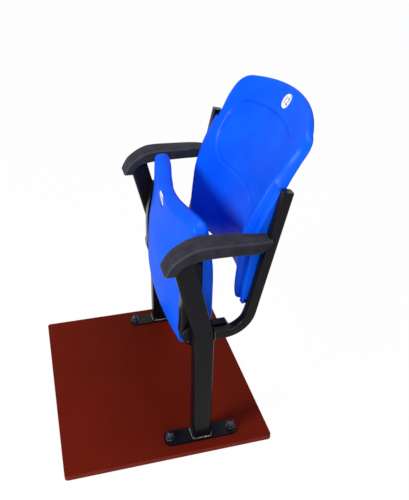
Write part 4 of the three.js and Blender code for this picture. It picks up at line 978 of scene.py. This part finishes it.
def weld_ring(width, depth, corner, count):
    """The two coordinates of a closed loop just outside a tube's section, at even steps."""
    ring = round_box_loop(width + 2 * weld_lap, depth + 2 * weld_lap, corner, 10)
    return evened(np.concatenate([ring, ring[:1]]), count)[:-1].T


foot_ring = weld_ring(leg_width, leg_depth, leg_corner, 220)
foot_path = np.column_stack([leg_x + foot_ring[0], foot_ring[1],
                             np.full(foot_ring.shape[1], plate_top + foot_weld_rise)])
knee_ring = weld_ring(tube_size, tube_size, tube_corner, 140)
knee_path = np.column_stack([tube_x + knee_ring[0], np.full(knee_ring.shape[1], leg_depth / 2 + knee_weld_rise),
                             floor + leg_knee + knee_ring[1]])
for side_name, side in SIDES:
    for place_name, path, radius, normal in (("leg_foot", foot_path, foot_weld_radius, (0, 0, 1)),
                                             ("knee", knee_path, knee_weld_radius, (0, 1, 0))):
        bead = skin(f"{place_name}_weld_{side_name}", weld_rows(mirrored(path, side), radius, normal),
                    closed_rows=True)
        dress(bead, "stand", "steel_black", material=weld_coat)


# Floor, light and camera

floor_glow_share, sky_light, half_floor = 0.98, 0.04, 15.0


def seen_directly(tree):
    """One where the camera, or a gloss or glass, looks straight at the surface, and otherwise nothing."""
    rays = node(tree, "ShaderNodeLightPath").outputs
    first = worked_out(tree, "MAXIMUM", rays["Is Camera Ray"], rays["Is Glossy Ray"])
    return worked_out(tree, "MAXIMUM", first, rays["Is Transmission Ray"])


def pale_studio_floor():
    """Matt white studio floor. Seen directly it is nearly pure white, with a trace of the object's shadow."""
    made = bpy.data.materials.new("pale_studio_floor")
    made.use_nodes = True
    tree = made.node_tree
    shader = tree.nodes["Principled BSDF"]
    shader.inputs["Base Color"].default_value = paint("#E6E6E6")
    shader.inputs["Roughness"].default_value = 0.9
    glow = node(tree, "ShaderNodeEmission", Color=(1, 1, 1, 1), Strength=1.0).outputs[0]
    share = worked_out(tree, "MULTIPLY", seen_directly(tree), floor_glow_share)
    mix = node(tree, "ShaderNodeMixShader", _0=share, _1=shader.outputs[0], _2=glow)
    tree.links.new(mix.outputs[0], tree.nodes["Material Output"].inputs["Surface"])
    return made


floor_mesh = bpy.data.meshes.new("studio_floor")
floor_mesh.from_pydata([(x * half_floor, y * half_floor, 0) for x, y in ((-1, -1), (1, -1), (1, 1), (-1, 1))],
                       [], [(0, 1, 2, 3)])
floor_mesh.materials.append(pale_studio_floor())
placed("studio_floor", floor_mesh)

world = bpy.data.worlds.new("studio")
world.use_nodes = True
sky = world.node_tree
background = sky.nodes["Background"]
background.inputs["Color"].default_value = (1, 1, 1, 1)
sky.links.new(ranged(sky, seen_directly(sky), 0.0, 1.0, sky_light), background.inputs["Strength"])
bpy.context.scene.world = world


def soft_box(name, place, target, size, power):
    """A square softbox that faces a point."""
    lamp = bpy.data.lights.new(name, "AREA")
    lamp.shape, lamp.size, lamp.energy = "SQUARE", size, power
    made = placed(name, lamp)
    made.location = place
    made.rotation_euler = (Vector(target) - Vector(place)).to_track_quat("-Z", "Y").to_euler()


aim = (0, 0.05, 0.55)
soft_box("key_box", (1.2, -2.9, 2.1), aim, 0.9, 112)
soft_box("side_box", (3.0, -0.3, 1.7), aim, 1.2, 32)
soft_box("top_box", (0.2, 0.7, 3.4), aim, 1.4, 46)


def photograph_camera():
    """The camera of the photograph: azimuth 73.8 degrees round from the front, looking 32.1 degrees down,
    turned 1.4 degrees about its own axis, with a view 43 degrees high."""
    azimuth, pitch, roll = (math.radians(v) for v in (73.757, 32.104, 1.408))
    place, focal_mm, sensor_mm = (1.43068, -0.34054, 1.37499), 30.443, 24.0
    back = Vector((math.sin(azimuth) * math.cos(pitch), -math.cos(azimuth) * math.cos(pitch), math.sin(pitch)))
    right = (-back).cross(Vector((0, 0, 1))).normalized()
    up = right.cross(-back)
    turned_right = right * math.cos(roll) + up * math.sin(roll)
    turned_up = up * math.cos(roll) - right * math.sin(roll)
    lens = bpy.data.cameras.new("photograph_camera")
    lens.sensor_fit, lens.sensor_width, lens.lens = "AUTO", sensor_mm, focal_mm
    lens.clip_start, lens.clip_end = 0.05, 60
    made = placed("photograph_camera", lens)
    turned = Matrix((turned_right, turned_up, back)).transposed().to_4x4()
    made.matrix_world = Matrix.Translation(place) @ turned
    bpy.context.scene.camera = made


photograph_camera()
bpy.context.scene.view_settings.view_transform = "Standard"
